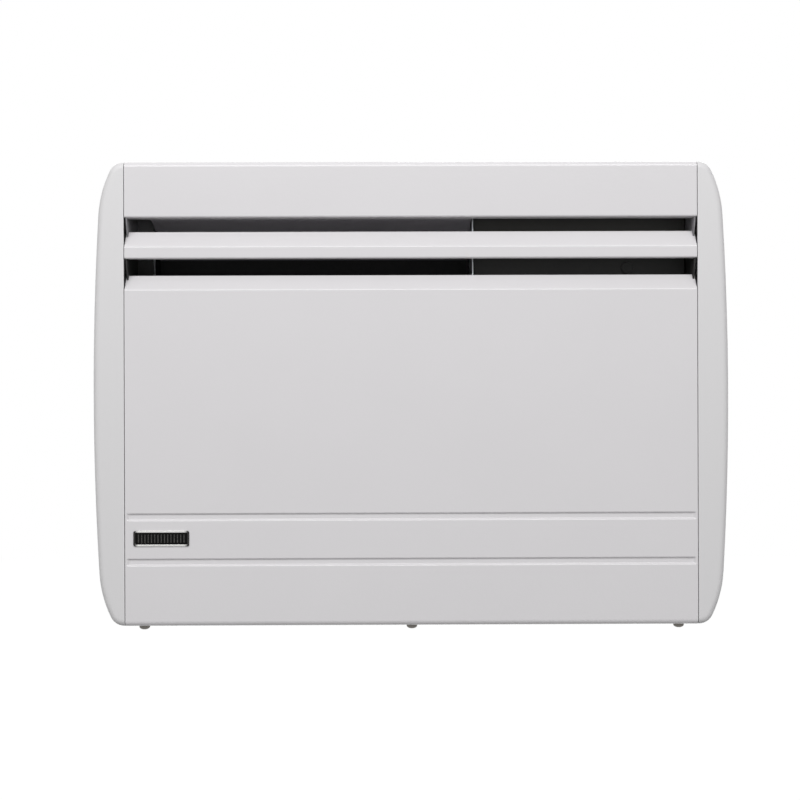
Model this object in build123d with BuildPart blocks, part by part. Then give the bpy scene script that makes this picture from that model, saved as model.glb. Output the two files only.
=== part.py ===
# Wall panel convector heater, in millimetres.
# Origin: on the wall, in the middle of the wall bracket's four screw holes, at half the casing's height.
# +X is to the right seen from the front, +Y goes into the wall, +Z is up, so the front faces -Y.
import os
from math import asin, cos, radians, sin, sqrt, tan

from build123d import *

# ---------------------------------------------------------------- driving sizes
# Casing
CASE_WIDTH = 617.5  # over both end caps
CASE_HEIGHT = 450.0  # painted casing, without the screws below it
CASE_DEPTH = 98.0  # back panel to front panel
WALL_GAP = 22.0  # wall to back panel
SHEET = 1.0  # casing steel
LAP = 0.1  # air between two sheets that lie on each other
SEAM = 0.6  # between the panels and an end cap
SHEET_BEND = 1.5  # middle radius of a plain fold in the hidden sheets

# End caps
CAP_WIDTH = 30.75
CAP_WALL = 2.5
CAP_SIDE_RADIUS = 3000.0  # the barely curved outer side
CAP_SHOULDER_RADIUS = 112.0
CAP_SHOULDER_DROP = 51.0  # below the top, where the side turns into the shoulder
CAP_CORNER_RADIUS = 14.5
CAP_FRONT_ROUND = 6.5
CAP_REAR_ROUND = 3.0
BOSS_RADIUS = 4.5
BOSS_BORE = 2.0
BOSS_DEPTH = 14.0

# Front panel
PANEL_FOLD_DROP = 124.1  # fold between its flat front and bevelled top edge, below the top of the casing
PANEL_BEVEL = 47.0  # degrees from level
PANEL_LIP = 12.0
PANEL_FLANGE = 25.0  # along the bottom
PANEL_BOTTOM_BEND = 5.5
FOLD_DEPTH = 17.0  # how far the bevelled edges reach behind the front
FOLD_BEND = 1.3
LIP_BEND = 1.6
GROOVE_RISES = (105.9, 62.1)  # middles above the bottom edge
GROOVE_WIDTH = 7.6
GROOVE_DEPTH = 2.0
GROOVE_SLOPE = 1.5  # run of each slanted groove wall
GROOVE_BEND = 0.8
GROOVE_END = 1.0  # plain strip left at each end of the panel

# Louver blade between the two air slots
LOUVER_FOLD_DROP = 82.4  # below the top of the casing
LOUVER_BEVEL = 49.0
LOUVER_BOTTOM_DROP = 93.9
LOUVER_LIP = 10.0
LOUVER_RETURN = 9.0

# Hood
HOOD_HEIGHT = 54.0
HOOD_BEND = 4.5
HOOD_REAR_BEND = 2.0
HOOD_RETURN = 15.0
HOOD_LIP_BEND = 1.4
HOOD_REAR_FLANGE = 20.0

# Badge place
BADGE_WIDTH = 54.0
BADGE_HEIGHT = 15.1
BADGE_INSET = 35.2  # middle of the badge from the panel's left edge
BADGE_RISE = 85.2  # above the bottom
BADGE_RIM = 1.8
BADGE_PROUD = 1.2
BADGE_ROUND = 2.0
BADGE_RIBS = 15

# Base grille
GRILLE_SLOT = 4.5
GRILLE_SLOT_LENGTH = 44.0
GRILLE_PITCH = 8.0
GRILLE_MARGIN = 14.0  # plain strip at each end
GRILLE_FRONT = 7.0  # clear of the front panel's bend
GRILLE_TAB = 20.0
GRILLE_TAB_XS = (-200.0, -70.0, 70.0, 200.0)

# Screws under the casing
SCREW_END = 47.5  # of the outer screws from the casing's ends
SCREW_INSET = 14.0  # behind the front
WASHER_RADIUS = 6.0
WASHER_THICK = 1.0
HEAD_RADIUS = 5.25
HEAD_HEIGHT = 3.9
HEAD_DOME = 3.0  # domed part of that height
SHANK_RADIUS = 1.95
SHANK_CLEARANCE = 0.15
SHANK_LENGTH = 9.0
CLIP_NUT = 12.0
CLIP_NUT_HEIGHT = 4.0
CLIP_NUT_COLLAR = 3.8  # radius of its threaded collar

# Small sheet screws
SMALL_HEAD_RADIUS = 3.6
SMALL_HEAD_HEIGHT = 2.2
SMALL_SHANK_RADIUS = 1.7
SMALL_SHANK_TIP = 3.0  # past the last sheet
FIXING_INSET = 20.0  # of a sheet screw from the end of what it holds
FIXING_DROP = 12.0  # of the hood's rear screws below the top
CAP_FIXING_INSET = 35.0
CAP_FIXING_REACH = 28.0  # in front of the back panel
PLATE_FIXING_INSET = 50.0
PARTITION_FIXING_FOOT = 45.0
PARTITION_FIXING_HEAD = 75.0
HOOD_FIXING_XS = (-200.0, -70.0, 70.0, 200.0)
DRILL_REACH = 8.0  # how far in front of the back panel the screw holes begin

# Side plates and the brackets that carry the louver
PLATE_CLEARANCE = 0.4
PLATE_FLANGE = 14.0
LOUVER_BRACKET_REAR = 60.0  # distance of its rear edge from the wall
LOUVER_BRACKET_FLANGE = 17.0
LOUVER_BRACKET_DROP = 19.0  # its upper edge below the top of the casing
LOUVER_BRACKET_HEIGHT = 114.0
BRACKET_SHEET = 1.2
BRACKET_AIR = 0.3  # between the brackets and the sheets they carry
BRACKET_CORNER = 6.0
NOTCH_GAP = 1.5  # between the bevelled edges and the side plate behind them
NOTCH_ROUND = 2.0
GROOVE_ROOM = 1.5  # side plate's notch beyond each side of a groove
BITE_MIDDLE = 6.5  # curved cuts at the air slots: depth behind the front at half height
BITE_DEPTH = 16.0  # and at the lower end

# Wall bracket
WALL_SPACING_X = 300.0
WALL_SPACING_Z = 240.0
WALL_HOLE_RADIUS = 3.25
RAIL_LENGTH = 380.0
RAIL_SHEET = 1.5
RAIL_WEB = 30.0
RAIL_DEPTH = 12.0
RAIL_LIP = 13.0
STRAP_X = 130.0
STRAP_WIDTH = 20.0
STRAP_TAB = 9.0
RIVET_RADIUS = 2.0
RIVET_HEAD_RADIUS = 3.5
RIVET_HEAD_HEIGHT = 1.2
RIVET_OFFSET = 5.75  # of the strap rivets from the wall
LATCH_RIVET_OFFSET = 7.8  # of the latch rivets from the rail's edge

# Hooks, latches and the openings they go through
HOOK_X = 110.0
HOOK_WIDTH = 20.0
HOOK_REACH = 16.0  # in front of the rail
HOOK_TIP = 13.0
HOOK_PLAY = 3.0
LATCH_X = 110.0
LATCH_WIDTH = 30.0
LATCH_SHEET = 2.0
LATCH_AIR = 0.2
LATCH_TRAVEL = 10.0
NOSE_WIDTH = 16.0
NOSE_HEIGHT = 10.0
NOSE_CLEARANCE = 0.4
EAR_WIDTH = 28.0
EAR_LIFT = 12.0  # above the upper rail
EAR_REACH = 13.0
EAR_FLANGE = 14.0
EAR_RIVET_SPACING = 16.0
EAR_RIVET_DROP = 8.5  # below the ear
EAR_SHOULDER = 2.0  # play between the latch shoulder and the ear
THUMB_TAB = 6.0
THUMB_TAB_INSET = 4.0  # at each end of the tab
THUMB_TAB_RISE = 2.0  # above the foot of the bolt
LATCH_TAIL = 8.0  # below the rail's lip
LATCH_CORNER = 2.0
NOSE_CHAMFER = 2.5
LATCH_RIVET_RADIUS = 2.5
LATCH_RIVET_HEAD = 4.5
LATCH_RIVET_CLEARANCE = 0.15

# Inside: chamber and control compartment
PARTITION_HOOK_GAP = 39.0  # between the partition and the nearest hook
PARTITION_SHEET = 1.0
PARTITION_FRONT = 90.0  # distance of its upper front edge from the wall
PARTITION_FLANGE = 13.0
PARTITION_LIFT = 2.0  # its foot above the base grille
PARTITION_RISE = 40.0  # above the hood's lower edge
PARTITION_DROP = 4.0  # its front step below the panel's lip
PARTITION_HOLE = 0.3  # room round the element's collars
GUIDE_AIR = 0.8  # between the guide and the partition
GUIDE_FIXING_MIDDLE = -60.0
THIN_SHEET = 0.6
GUIDE_RADIUS = 70.0
GUIDE_END_GAP = 19.5  # its left end from the left side plate
GUIDE_FRONT = 112.0  # distance of its front edge from the wall
GUIDE_FLANGE = 25.0
SHIELD_FRONT = 79.0
SHIELD_DROP = 20.0  # its upper edge below the top of the casing
SHIELD_HEIGHT = 145.0
SHIELD_FLANGE = 12.0
DIMPLE_REACH = 155.0  # from the partition
DIMPLE_DROP = 100.0
DIMPLE_RADIUS = 6.0
DIMPLE_HEIGHT = 1.2
DIMPLE_TAPER = 25.0  # degrees
HEAT_SHIELD_DEPTH = 13.0
HEAT_SHIELD_FLANGE = 14.0
HEAT_SHIELD_SLOPE = 4.0
HEAT_SHIELD_BEND = 1.2
HEAT_SHIELD_RISE = 25.0  # above the bottom
HEAT_SHIELD_GUIDE_GAP = 3.6
HEAT_SHIELD_LEFT_GAP = 31.5
HEAT_SHIELD_RIGHT_GAP = 27.0

# Heating element
ELEMENT_Y = -76.0
ELEMENT_RISE = 75.0  # above the bottom
ELEMENT_LEFT_GAP = 30.5
ELEMENT_RIGHT_GAP = 25.0
LEG_SPACING = 24.0
SHEATH_RADIUS = 4.25
SHEATH_CLEARANCE = 0.05
CORE_DEPTH = 16.0
CORE_HEIGHT = 42.0
CORE_ROUND = 5.0
FIN_DEPTH = 46.0
FIN_HEIGHT = 66.0
FIN_THICK = 1.4
FIN_PITCH = 8.0
FIN_ROUND = 4.0
BEND_OVERHANG = 8.0
SHEATH_STUB = 16.0
ELEMENT_BRACKET_GAP = 3.0
ELEMENT_BRACKET_HEIGHT = 76.0
ELEMENT_BRACKET_FLANGE = 12.0
ELEMENT_BRACKET_REACH = 4.0  # in front of the fins
ELEMENT_FIXING_REACH = 7.2  # of its screws from the plate
ELEMENT_FIXING_INSET = 10.0
BUSH_RADIUS = 5.6
BUSH_COLLAR_RADIUS = 7.2
BUSH_COLLAR = 1.2
BUSH_PAST = 1.0  # past the bracket
COLLAR_RADIUS = 3.8
COLLAR_LENGTH = 14.0
PIN_RADIUS = 1.6
PIN_LENGTH = 9.0
CUTOUT_RADIUS = 8.5
CUTOUT_HEIGHT = 7.0
CUTOUT_Y = -60.0
CUTOUT_RISE = 155.0
CUTOUT_HOLE = 6.0
CUTOUT_HOLE_AIR = 0.5
CUTOUT_ROUND = 1.0
CUTOUT_PAST = 3.0  # its stem past the partition
CUTOUT_BLADE_SPACING = 6.0
CUTOUT_BLADE_WIDTH = 4.3
CUTOUT_BLADE_LENGTH = 10.0

# Controls in the hood, at the right
WELL_INSET = 84.5  # middle of the well from the right side plate
WELL_Y = -57.0
WELL_WIDTH = 128.0
WELL_DEPTH = 36.0
WELL_SINK = 11.0  # floor of the well below the top of the hood
WELL_ROUND = 6.0
FASCIA_WALL = 1.5
FASCIA_RIM = 5.0
FASCIA_RIM_THICK = 1.2
FASCIA_FLOOR = 2.0
CUT_CLEARANCE = 0.2  # round what comes up through the floor
DIAL_REACH = -37.0  # from the middle of the well
DIAL_RADIUS = 15.5
DIAL_HEIGHT = 9.0
DIAL_SKIN = 2.0
DIAL_AIR = 0.5
DIAL_FLUTES = 20
DIAL_FLUTE_RADIUS = 1.2
DIAL_CHAMFER = 0.6
DIAL_MARK_LENGTH = 7.8
DIAL_MARK_WIDTH = 1.6
DIAL_MARK_DEPTH = 0.6
DIAL_MARK_Y = 9.3  # of its middle from the axis
HUB_RADIUS = 6.0
SPINDLE_RADIUS = 3.0
SPINDLE_RUNNING = 0.05
SPINDLE_DEPTH = 14.4  # in the thermostat
SPINDLE_BORE = 19.2  # depth of the hole it turns in
SPINDLE_END_GAP = 0.2
BUSH_TOP = 0.3  # thermostat bush above the floor of the well
THERMOSTAT_BUSH_RADIUS = 5.0
THERMOSTAT_WIDTH = 38.0
THERMOSTAT_DEPTH = 32.0
THERMOSTAT_HEIGHT = 24.0
THERMOSTAT_ROUND = 2.0
THERMOSTAT_BLADE_SPACING = 20.0
SWITCH_REACH = 15.0
SWITCH_WIDTH = 26.0
SWITCH_DEPTH = 16.0
SWITCH_HEIGHT = 14.0
SWITCH_BLADE_SPACING = 14.0
BEZEL_RIM = 2.0
BEZEL_THICK = 1.5
PIVOT_LIFT = 0.2  # rocker's axis above the floor
ROCKER_RADIUS = 10.0  # every edge of the rocker lies within this distance of its axis
ROCKER_HALF_DEPTH = 6.0
ROCKER_AIR = 0.4
ROCKER_THROW = 20.0  # degrees
ROCKER_CROWN = 3.0
ROCKER_SKIRT = 6.0
ROCKER_PIN_RADIUS = 1.2
ROCKER_PIN_LENGTH = 1.2
LAMP_REACH = 48.0
LAMP_RADIUS = 4.0
LAMP_COLLAR = 5.2
LAMP_HEIGHT = 16.0
LAMP_DOME = 2.5
LAMP_ROUND = 2.0
BLADE_WIDTH = 6.3
BLADE_THICK = 0.8
BLADE_LENGTH = 8.0

# Room sensor
BULB_RADIUS = 3.2
BULB_LENGTH = 60.0
BULB_REACH = 49.0  # from the partition
BULB_Y = -60.0
BULB_LIFT = 14.0  # bulb axis above the base grille
BULB_ROUND = 1.2
CAPILLARY_RADIUS = 0.9
CAPILLARY_BEND = 22.0
CLIP_WALL = 1.2
CLIP_WIDTH = 6.0
CLIP_FOOT = 16.0
CLIP_MOUTH = 3.0
CLIP_INSET = 8.0  # from each end of the bulb

# Wiring
BLOCK_INSET = 71.5  # from the right side plate
BLOCK_RISE = 75.0
BLOCK_POLES = 3
BLOCK_PITCH = 13.0
BLOCK_HEIGHT = 26.0
BLOCK_DEPTH = 19.0
BLOCK_SCREW_RADIUS = 2.6
BLOCK_SCREW_DEPTH = 7.6
BLOCK_SCREW_SINK = 2.0
BLOCK_ROW = 7.3  # of each row of screws from the middle
BLOCK_PORT = 7.6  # of the wire holes from the back panel
BLOCK_BEVEL = 4.0
BLOCK_GROOVE_WIDTH = 1.5
BLOCK_GROOVE_DEPTH = 3.0
GLAND_RISE = 30.0
GLAND_RADIUS = 8.0
GLAND_BORE = 3.75
GLAND_CAP_RADIUS = 10.5
GLAND_CAP_LENGTH = 11.0
GLAND_INSIDE = 12.0
GLAND_NUT_WIDTH = 24.0  # across flats
GLAND_NUT_THICK = 5.0
GLAND_CHAMFER = 1.2
GLAND_COLLAR = 2.0  # plain strip of the cap beside the back panel
GLAND_FLUTES = 12
GLAND_FLUTE_RADIUS = 1.4
GLAND_FLUTE_OUT = 0.8  # of the flutes' centres from the cap's side
EARTH_INSET = 136.5  # from the right side plate
EARTH_RISE = 40.0
STUD_RADIUS = 2.5
STUD_LENGTH = 14.0
STUD_HEAD_RADIUS = 5.0
STUD_HEAD = 2.0
EARTH_NUT_WIDTH = 8.0  # across flats
EARTH_NUT_THICK = 4.0
LEAD_RADIUS = 1.4
LEAD_BEND = 18.0
LEAD_GRIP = 6.0  # how far a lead goes into the terminal block
WIRE_HOLE_AIR = 0.3

# ---------------------------------------------------------------- places worked out from them
BACK = -WALL_GAP  # rear face of the back panel
FRONT = BACK - CASE_DEPTH  # front face of the front panel
TOP = CASE_HEIGHT / 2
BOTTOM = -TOP
HALF = SHEET / 2
FRONT_MID = FRONT + HALF
CAP_INNER_X = CASE_WIDTH / 2 - CAP_WIDTH + SEAM / 2
PANEL_HALF = CASE_WIDTH / 2 - CAP_WIDTH - SEAM / 2
PLATE_OUTER_X = PANEL_HALF - LAP
PLATE_INNER_X = PLATE_OUTER_X - SHEET
BODY_HALF = PLATE_INNER_X - LAP  # half width of what lies between the side plates
BACK_FRONT = BACK - SHEET  # front face of the back panel
GRILLE_TOP = BOTTOM + 2 * SHEET
SCREW_Y = FRONT + SCREW_INSET
SCREW_XS = (SCREW_END - CASE_WIDTH / 2, 0.0, CASE_WIDTH / 2 - SCREW_END)
CAP_SHOULDER_AT = TOP - CAP_SHOULDER_DROP
HOOD_BOTTOM = TOP - HOOD_HEIGHT
PANEL_FOLD = TOP - PANEL_FOLD_DROP
LOUVER_FOLD = TOP - LOUVER_FOLD_DROP
LOUVER_BOTTOM = TOP - LOUVER_BOTTOM_DROP
LOUVER_BRACKET_TOP = TOP - LOUVER_BRACKET_DROP
LOUVER_BRACKET_BOTTOM = LOUVER_BRACKET_TOP - LOUVER_BRACKET_HEIGHT
GROOVE_HEIGHTS = [BOTTOM + rise for rise in GROOVE_RISES]
BADGE_X = BADGE_INSET - PANEL_HALF
BADGE_Z = BOTTOM + BADGE_RISE
PARTITION_X = HOOK_X - HOOK_WIDTH / 2 - PARTITION_HOOK_GAP
SHIELD_TOP = TOP - SHIELD_DROP
SHIELD_BOTTOM = SHIELD_TOP - SHIELD_HEIGHT
HEAT_SHIELD_BOTTOM = BOTTOM + HEAT_SHIELD_RISE
HEAT_SHIELD_LEFT = HEAT_SHIELD_LEFT_GAP - BODY_HALF
HEAT_SHIELD_RIGHT = PARTITION_X - HEAT_SHIELD_RIGHT_GAP
ELEMENT_Z = BOTTOM + ELEMENT_RISE
ELEMENT_LEFT = ELEMENT_LEFT_GAP - BODY_HALF
ELEMENT_RIGHT = PARTITION_X - ELEMENT_RIGHT_GAP
CUTOUT_Z = BOTTOM + CUTOUT_RISE
WELL_X = BODY_HALF - WELL_INSET
DIAL_X = WELL_X + DIAL_REACH
SWITCH_X = WELL_X + SWITCH_REACH
LAMP_X = WELL_X + LAMP_REACH
BULB_X = PARTITION_X + BULB_REACH
BLOCK_X = BODY_HALF - BLOCK_INSET
BLOCK_Z = BOTTOM + BLOCK_RISE
GLAND_Z = BOTTOM + GLAND_RISE
EARTH_X = BODY_HALF - EARTH_INSET
EARTH_Z = BOTTOM + EARTH_RISE


def flange_face(sheet):
    """Front face of a flange of this thickness that lies on the back panel."""
    return BACK_FRONT - LAP - sheet


# Sheet screws through flanges on the back panel, as (x, z)
GUIDE_SEAT = HOOD_BOTTOM + SHEET + BRACKET_AIR + THIN_SHEET / 2  # guide rests on the hood's lip
GUIDE_BOTTOM = GUIDE_SEAT - GUIDE_RADIUS - GUIDE_FLANGE
GUIDE_LEFT = GUIDE_END_GAP - BODY_HALF
GUIDE_RIGHT = PARTITION_X - GUIDE_AIR
HEAT_SHIELD_TOP = GUIDE_BOTTOM - HEAT_SHIELD_GUIDE_GAP
SHIELD_FIXINGS = [
    (x, z)
    for x in (HEAT_SHIELD_LEFT + HEAT_SHIELD_FLANGE / 2, HEAT_SHIELD_RIGHT - HEAT_SHIELD_FLANGE / 2)
    for z in (HEAT_SHIELD_BOTTOM + FIXING_INSET, HEAT_SHIELD_TOP - FIXING_INSET)
]
GUIDE_FIXINGS = [
    (x, GUIDE_BOTTOM + FIXING_INSET / 2)
    for x in (GUIDE_LEFT + FIXING_INSET, GUIDE_FIXING_MIDDLE, GUIDE_RIGHT - FIXING_INSET)
]
LEFT_BRACKET_X = ELEMENT_LEFT - ELEMENT_BRACKET_GAP
RIGHT_BRACKET_X = ELEMENT_RIGHT + ELEMENT_BRACKET_GAP
ELEMENT_FIXING_RISE = ELEMENT_BRACKET_HEIGHT / 2 - ELEMENT_FIXING_INSET
ELEMENT_FIXINGS = [
    (x, z)
    for x in (LEFT_BRACKET_X - ELEMENT_FIXING_REACH, RIGHT_BRACKET_X + ELEMENT_FIXING_REACH)
    for z in (ELEMENT_Z - ELEMENT_FIXING_RISE, ELEMENT_Z + ELEMENT_FIXING_RISE)
]
PARTITION_FIXINGS = [
    (PARTITION_X + PARTITION_SHEET + PARTITION_FLANGE / 2, z)
    for z in (BOTTOM + PARTITION_FIXING_FOOT, 0, TOP - PARTITION_FIXING_HEAD)
]
PLATE_FIXINGS = [
    (s * (PLATE_INNER_X - PLATE_FLANGE / 2), z)
    for s in (-1, 1)
    for z in (BOTTOM + PLATE_FIXING_INSET, 0, TOP - PLATE_FIXING_INSET)
]
HOOD_FIXINGS = [(x, TOP - FIXING_DROP) for x in HOOD_FIXING_XS]
CAP_FIXINGS = [(BACK - CAP_FIXING_REACH, z) for z in (BOTTOM + CAP_FIXING_INSET, 0, TOP - CAP_FIXING_INSET)]


# ---------------------------------------------------------------- shapes used more than once
def bent_section(plane, path, bends, thickness):
    """Section of a folded sheet: straight runs joined by bends, with half the thickness on each side."""
    with BuildSketch(plane) as section:
        with BuildLine():
            FilletPolyline(*path, radius=bends)
        trace(line_width=thickness)
    return section.sketch


def bevelled_edge(fold_height, bevel, lip):
    """Middle of the sheet along a bevelled top edge, from its rear lip to the fold at the front."""
    fold = fold_height - HALF * tan(radians((90 - bevel) / 2))
    rear = fold + (FOLD_DEPTH - SHEET) * tan(radians(bevel))
    rear_y = FRONT + FOLD_DEPTH - HALF
    return [(rear_y, rear - lip), (rear_y, rear), (FRONT_MID, fold)]


def groove(height):
    """Middle of the sheet through one pressed groove, from its upper to its lower edge."""
    half, floor = GROOVE_WIDTH / 2, FRONT_MID + GROOVE_DEPTH
    return [
        (FRONT_MID, height + half),
        (floor, height + half - GROOVE_SLOPE),
        (floor, height - half + GROOVE_SLOPE),
        (FRONT_MID, height - half),
    ]


def cap_outline(inset, edge_x):
    """Face of an end cap seen from the front, with its side, shoulders and corners drawn in by inset."""
    side_centre = CASE_WIDTH / 2 - CAP_SIDE_RADIUS
    turn = asin(CAP_SHOULDER_AT / CAP_SIDE_RADIUS)
    shoulder_start = Vector(side_centre + CAP_SIDE_RADIUS * cos(turn), CAP_SHOULDER_AT)
    shoulder_centre = shoulder_start - Vector(cos(turn), sin(turn)) * CAP_SHOULDER_RADIUS
    rise = TOP - CAP_CORNER_RADIUS - shoulder_centre.Y
    reach = sqrt((CAP_SHOULDER_RADIUS - CAP_CORNER_RADIUS) ** 2 - rise**2)
    corner_centre = shoulder_centre + Vector(reach, rise)
    out = Vector(reach, rise).normalized()
    corner_top = corner_centre + Vector(0, CAP_CORNER_RADIUS - inset)
    corner_end = corner_centre + out * (CAP_CORNER_RADIUS - inset)
    shoulder_end = shoulder_centre + Vector(cos(turn), sin(turn)) * (CAP_SHOULDER_RADIUS - inset)
    side_middle = Vector(CASE_WIDTH / 2 - inset, 0)
    with BuildSketch(Plane.XZ.offset(-BACK)) as face:
        with BuildLine():
            top_edge = Line((edge_x, TOP - inset), corner_top)
            corner = TangentArc(corner_top, corner_end, tangent=top_edge % 1)
            shoulder = TangentArc(corner_end, shoulder_end, tangent=corner % 1)
            TangentArc(shoulder_end, side_middle, tangent=shoulder % 1)
            mirror(about=Plane.XZ)
            Line((edge_x, TOP - inset), (edge_x, inset - TOP))
        make_face()
    return face.sketch


def cap_inside_x(height):
    """Middle of the end cap's outer wall at this height."""
    side_centre = CASE_WIDTH / 2 - CAP_SIDE_RADIUS
    turn = asin(CAP_SHOULDER_AT / CAP_SIDE_RADIUS)
    radius = CAP_SHOULDER_RADIUS - CAP_WALL / 2
    centre_x = side_centre + (CAP_SIDE_RADIUS - CAP_SHOULDER_RADIUS) * cos(turn)
    centre_z = (CAP_SIDE_RADIUS - CAP_SHOULDER_RADIUS) * sin(turn)
    if abs(height) <= CAP_SHOULDER_AT:
        return side_centre + sqrt((CAP_SIDE_RADIUS - CAP_WALL / 2) ** 2 - height**2)
    return centre_x + sqrt(radius**2 - (abs(height) - centre_z) ** 2)


def facing_back(x, y, z):
    """Plane with its normal along +Y, local x along +X and local y down."""
    return Plane(origin=(x, y, z), x_dir=(1, 0, 0), z_dir=(0, 1, 0))


def drill_back(points, radius):
    """Holes along Y at (x, z) through the open sub-part, from just before the back panel to the wall."""
    for x, z in points:
        with BuildSketch(facing_back(x, BACK - DRILL_REACH, z), mode=Mode.PRIVATE) as hole:
            Circle(radius)
        extrude(hole.sketch, amount=DRILL_REACH - BACK, mode=Mode.SUBTRACT)


def pan_screw(plane, head_radius, head_height, shank_radius, shank_length):
    """Pan head screw: the plane lies under its head, and its normal points along the shank."""
    with BuildPart() as screw:
        with BuildSketch(plane):
            Circle(shank_radius)
        extrude(amount=shank_length)
        with BuildSketch(plane):
            Circle(head_radius)
        extrude(amount=-head_height)
        rim = screw.faces().sort_by(Axis(plane.origin, plane.z_dir))[0].edges()
        fillet(rim, radius=0.6 * head_height)
    return screw.part


def small_screw(plane, grip):
    """Sheet screw that holds a stack of this thickness."""
    return pan_screw(
        plane, SMALL_HEAD_RADIUS, SMALL_HEAD_HEIGHT, SMALL_SHANK_RADIUS, grip + SMALL_SHANK_TIP
    )


def well_outline(grown):
    """Mouth of the control well seen from above, grown by this much on every side."""
    with BuildSketch() as outline:
        with Locations((WELL_X, WELL_Y)):
            RectangleRounded(WELL_WIDTH + 2 * grown, WELL_DEPTH + 2 * grown, WELL_ROUND + grown)
    return outline.sketch


def bend_radii(points, largest):
    """Radius for each corner of a route: 0.45 of its shorter run, over the tangent of half the turn."""
    corners = [Vector(*p) for p in points]
    radii = []
    for before, here, after in zip(corners, corners[1:], corners[2:]):
        first, second = here - before, after - here
        turn = radians(first.get_angle(second))
        radii.append(min(largest, 0.45 * min(first.length, second.length) / tan(turn / 2)))
    return radii


def round_run(points, radius, largest_bend):
    """A wire or capillary of round section along straight runs joined by tangent arcs."""
    with BuildPart() as wire:
        with BuildLine():
            FilletPolyline(*points, radius=bend_radii(points, largest_bend))
        with BuildSketch(Plane(origin=points[0], z_dir=Vector(*points[1]) - Vector(*points[0]))):
            Circle(radius)
        sweep()
    return wire.part


# ---------------------------------------------------------------- casing
PANEL_PATH = (
    bevelled_edge(PANEL_FOLD, PANEL_BEVEL, PANEL_LIP)
    + [p for height in GROOVE_HEIGHTS for p in groove(height)]
    + [(FRONT_MID, BOTTOM + HALF), (FRONT_MID + PANEL_FLANGE, BOTTOM + HALF)]
)
PANEL_BENDS = [LIP_BEND, FOLD_BEND] + [GROOVE_BEND] * 4 * len(GROOVE_HEIGHTS) + [PANEL_BOTTOM_BEND - HALF]
PLAIN_PATH = bevelled_edge(PANEL_FOLD, PANEL_BEVEL, PANEL_LIP) + PANEL_PATH[-2:]
PLAIN_BENDS = [LIP_BEND, FOLD_BEND, PANEL_BOTTOM_BEND - HALF]

with BuildPart() as front_panel:
    grooved = PANEL_HALF - GROOVE_END
    extrude(bent_section(Plane.YZ.offset(-grooved), PANEL_PATH, PANEL_BENDS, SHEET), amount=2 * grooved)
    for start in (-PANEL_HALF, grooved):
        extrude(bent_section(Plane.YZ.offset(start), PLAIN_PATH, PLAIN_BENDS, SHEET), amount=GROOVE_END)
    with BuildSketch(Plane.XY.offset(BOTTOM)):
        with Locations(*[(x, SCREW_Y) for x in SCREW_XS]):
            Circle(SHANK_RADIUS + SHANK_CLEARANCE)
    extrude(amount=SHEET, mode=Mode.SUBTRACT)

LOUVER_PATH = bevelled_edge(LOUVER_FOLD, LOUVER_BEVEL, LOUVER_LIP) + [
    (FRONT_MID, LOUVER_BOTTOM + HALF),
    (FRONT + LOUVER_RETURN, LOUVER_BOTTOM + HALF),
]
LOUVER_BENDS = [LIP_BEND, FOLD_BEND, FOLD_BEND]

with BuildPart() as louver_blade:
    extrude(bent_section(Plane.YZ.offset(-PANEL_HALF), LOUVER_PATH, LOUVER_BENDS, SHEET), amount=2 * PANEL_HALF)

HOOD_PATH = [
    (FRONT + HOOD_RETURN, HOOD_BOTTOM + HALF),
    (FRONT_MID, HOOD_BOTTOM + HALF),
    (FRONT_MID, TOP - HALF),
    (BACK + HALF, TOP - HALF),
    (BACK + HALF, TOP - HOOD_REAR_FLANGE),
]
HOOD_BENDS = [HOOD_LIP_BEND, HOOD_BEND, HOOD_REAR_BEND]

with BuildPart() as top_hood:
    extrude(bent_section(Plane.YZ.offset(-PANEL_HALF), HOOD_PATH, HOOD_BENDS, SHEET), amount=2 * PANEL_HALF)
    with BuildSketch(Plane.XY.offset(TOP - SHEET)):
        add(well_outline(0))
    extrude(amount=SHEET, mode=Mode.SUBTRACT)
    drill_back(HOOD_FIXINGS, SMALL_SHANK_RADIUS + SHANK_CLEARANCE)

with BuildPart() as cap_hollow:
    inside = cap_outline(CAP_WALL, CAP_INNER_X - SHEET)
    extrude(inside.moved(Location((0, -CAP_WALL, 0))), amount=CASE_DEPTH - 2 * CAP_WALL)
    hollow_front = cap_hollow.faces().sort_by(Axis.Y)[0].edges().filter_by(Axis.Z, reverse=True)
    fillet(hollow_front, radius=CAP_FRONT_ROUND - CAP_WALL)

with BuildPart() as right_end_cap:
    extrude(cap_outline(0, CAP_INNER_X), amount=CASE_DEPTH)
    front_edges = right_end_cap.faces().sort_by(Axis.Y)[0].edges().filter_by(Axis.Z, reverse=True)
    fillet(front_edges, radius=CAP_FRONT_ROUND)
    rear_edges = right_end_cap.faces().sort_by(Axis.Y)[-1].edges().filter_by(Axis.Z, reverse=True)
    fillet(rear_edges, radius=CAP_REAR_ROUND)
    add(cap_hollow.part, mode=Mode.SUBTRACT)
    for y, z in CAP_FIXINGS:
        with BuildSketch(Plane.YZ.offset(PLATE_OUTER_X + LAP)):
            with Locations((y, z)):
                Circle(BOSS_RADIUS)
        extrude(amount=cap_inside_x(z) - PLATE_OUTER_X - LAP)
        with BuildSketch(Plane.YZ.offset(PLATE_OUTER_X + LAP)):
            with Locations((y, z)):
                Circle(BOSS_BORE)
        extrude(amount=BOSS_DEPTH, mode=Mode.SUBTRACT)

with BuildPart() as left_end_cap:
    mirror(right_end_cap.part, about=Plane.YZ)

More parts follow.
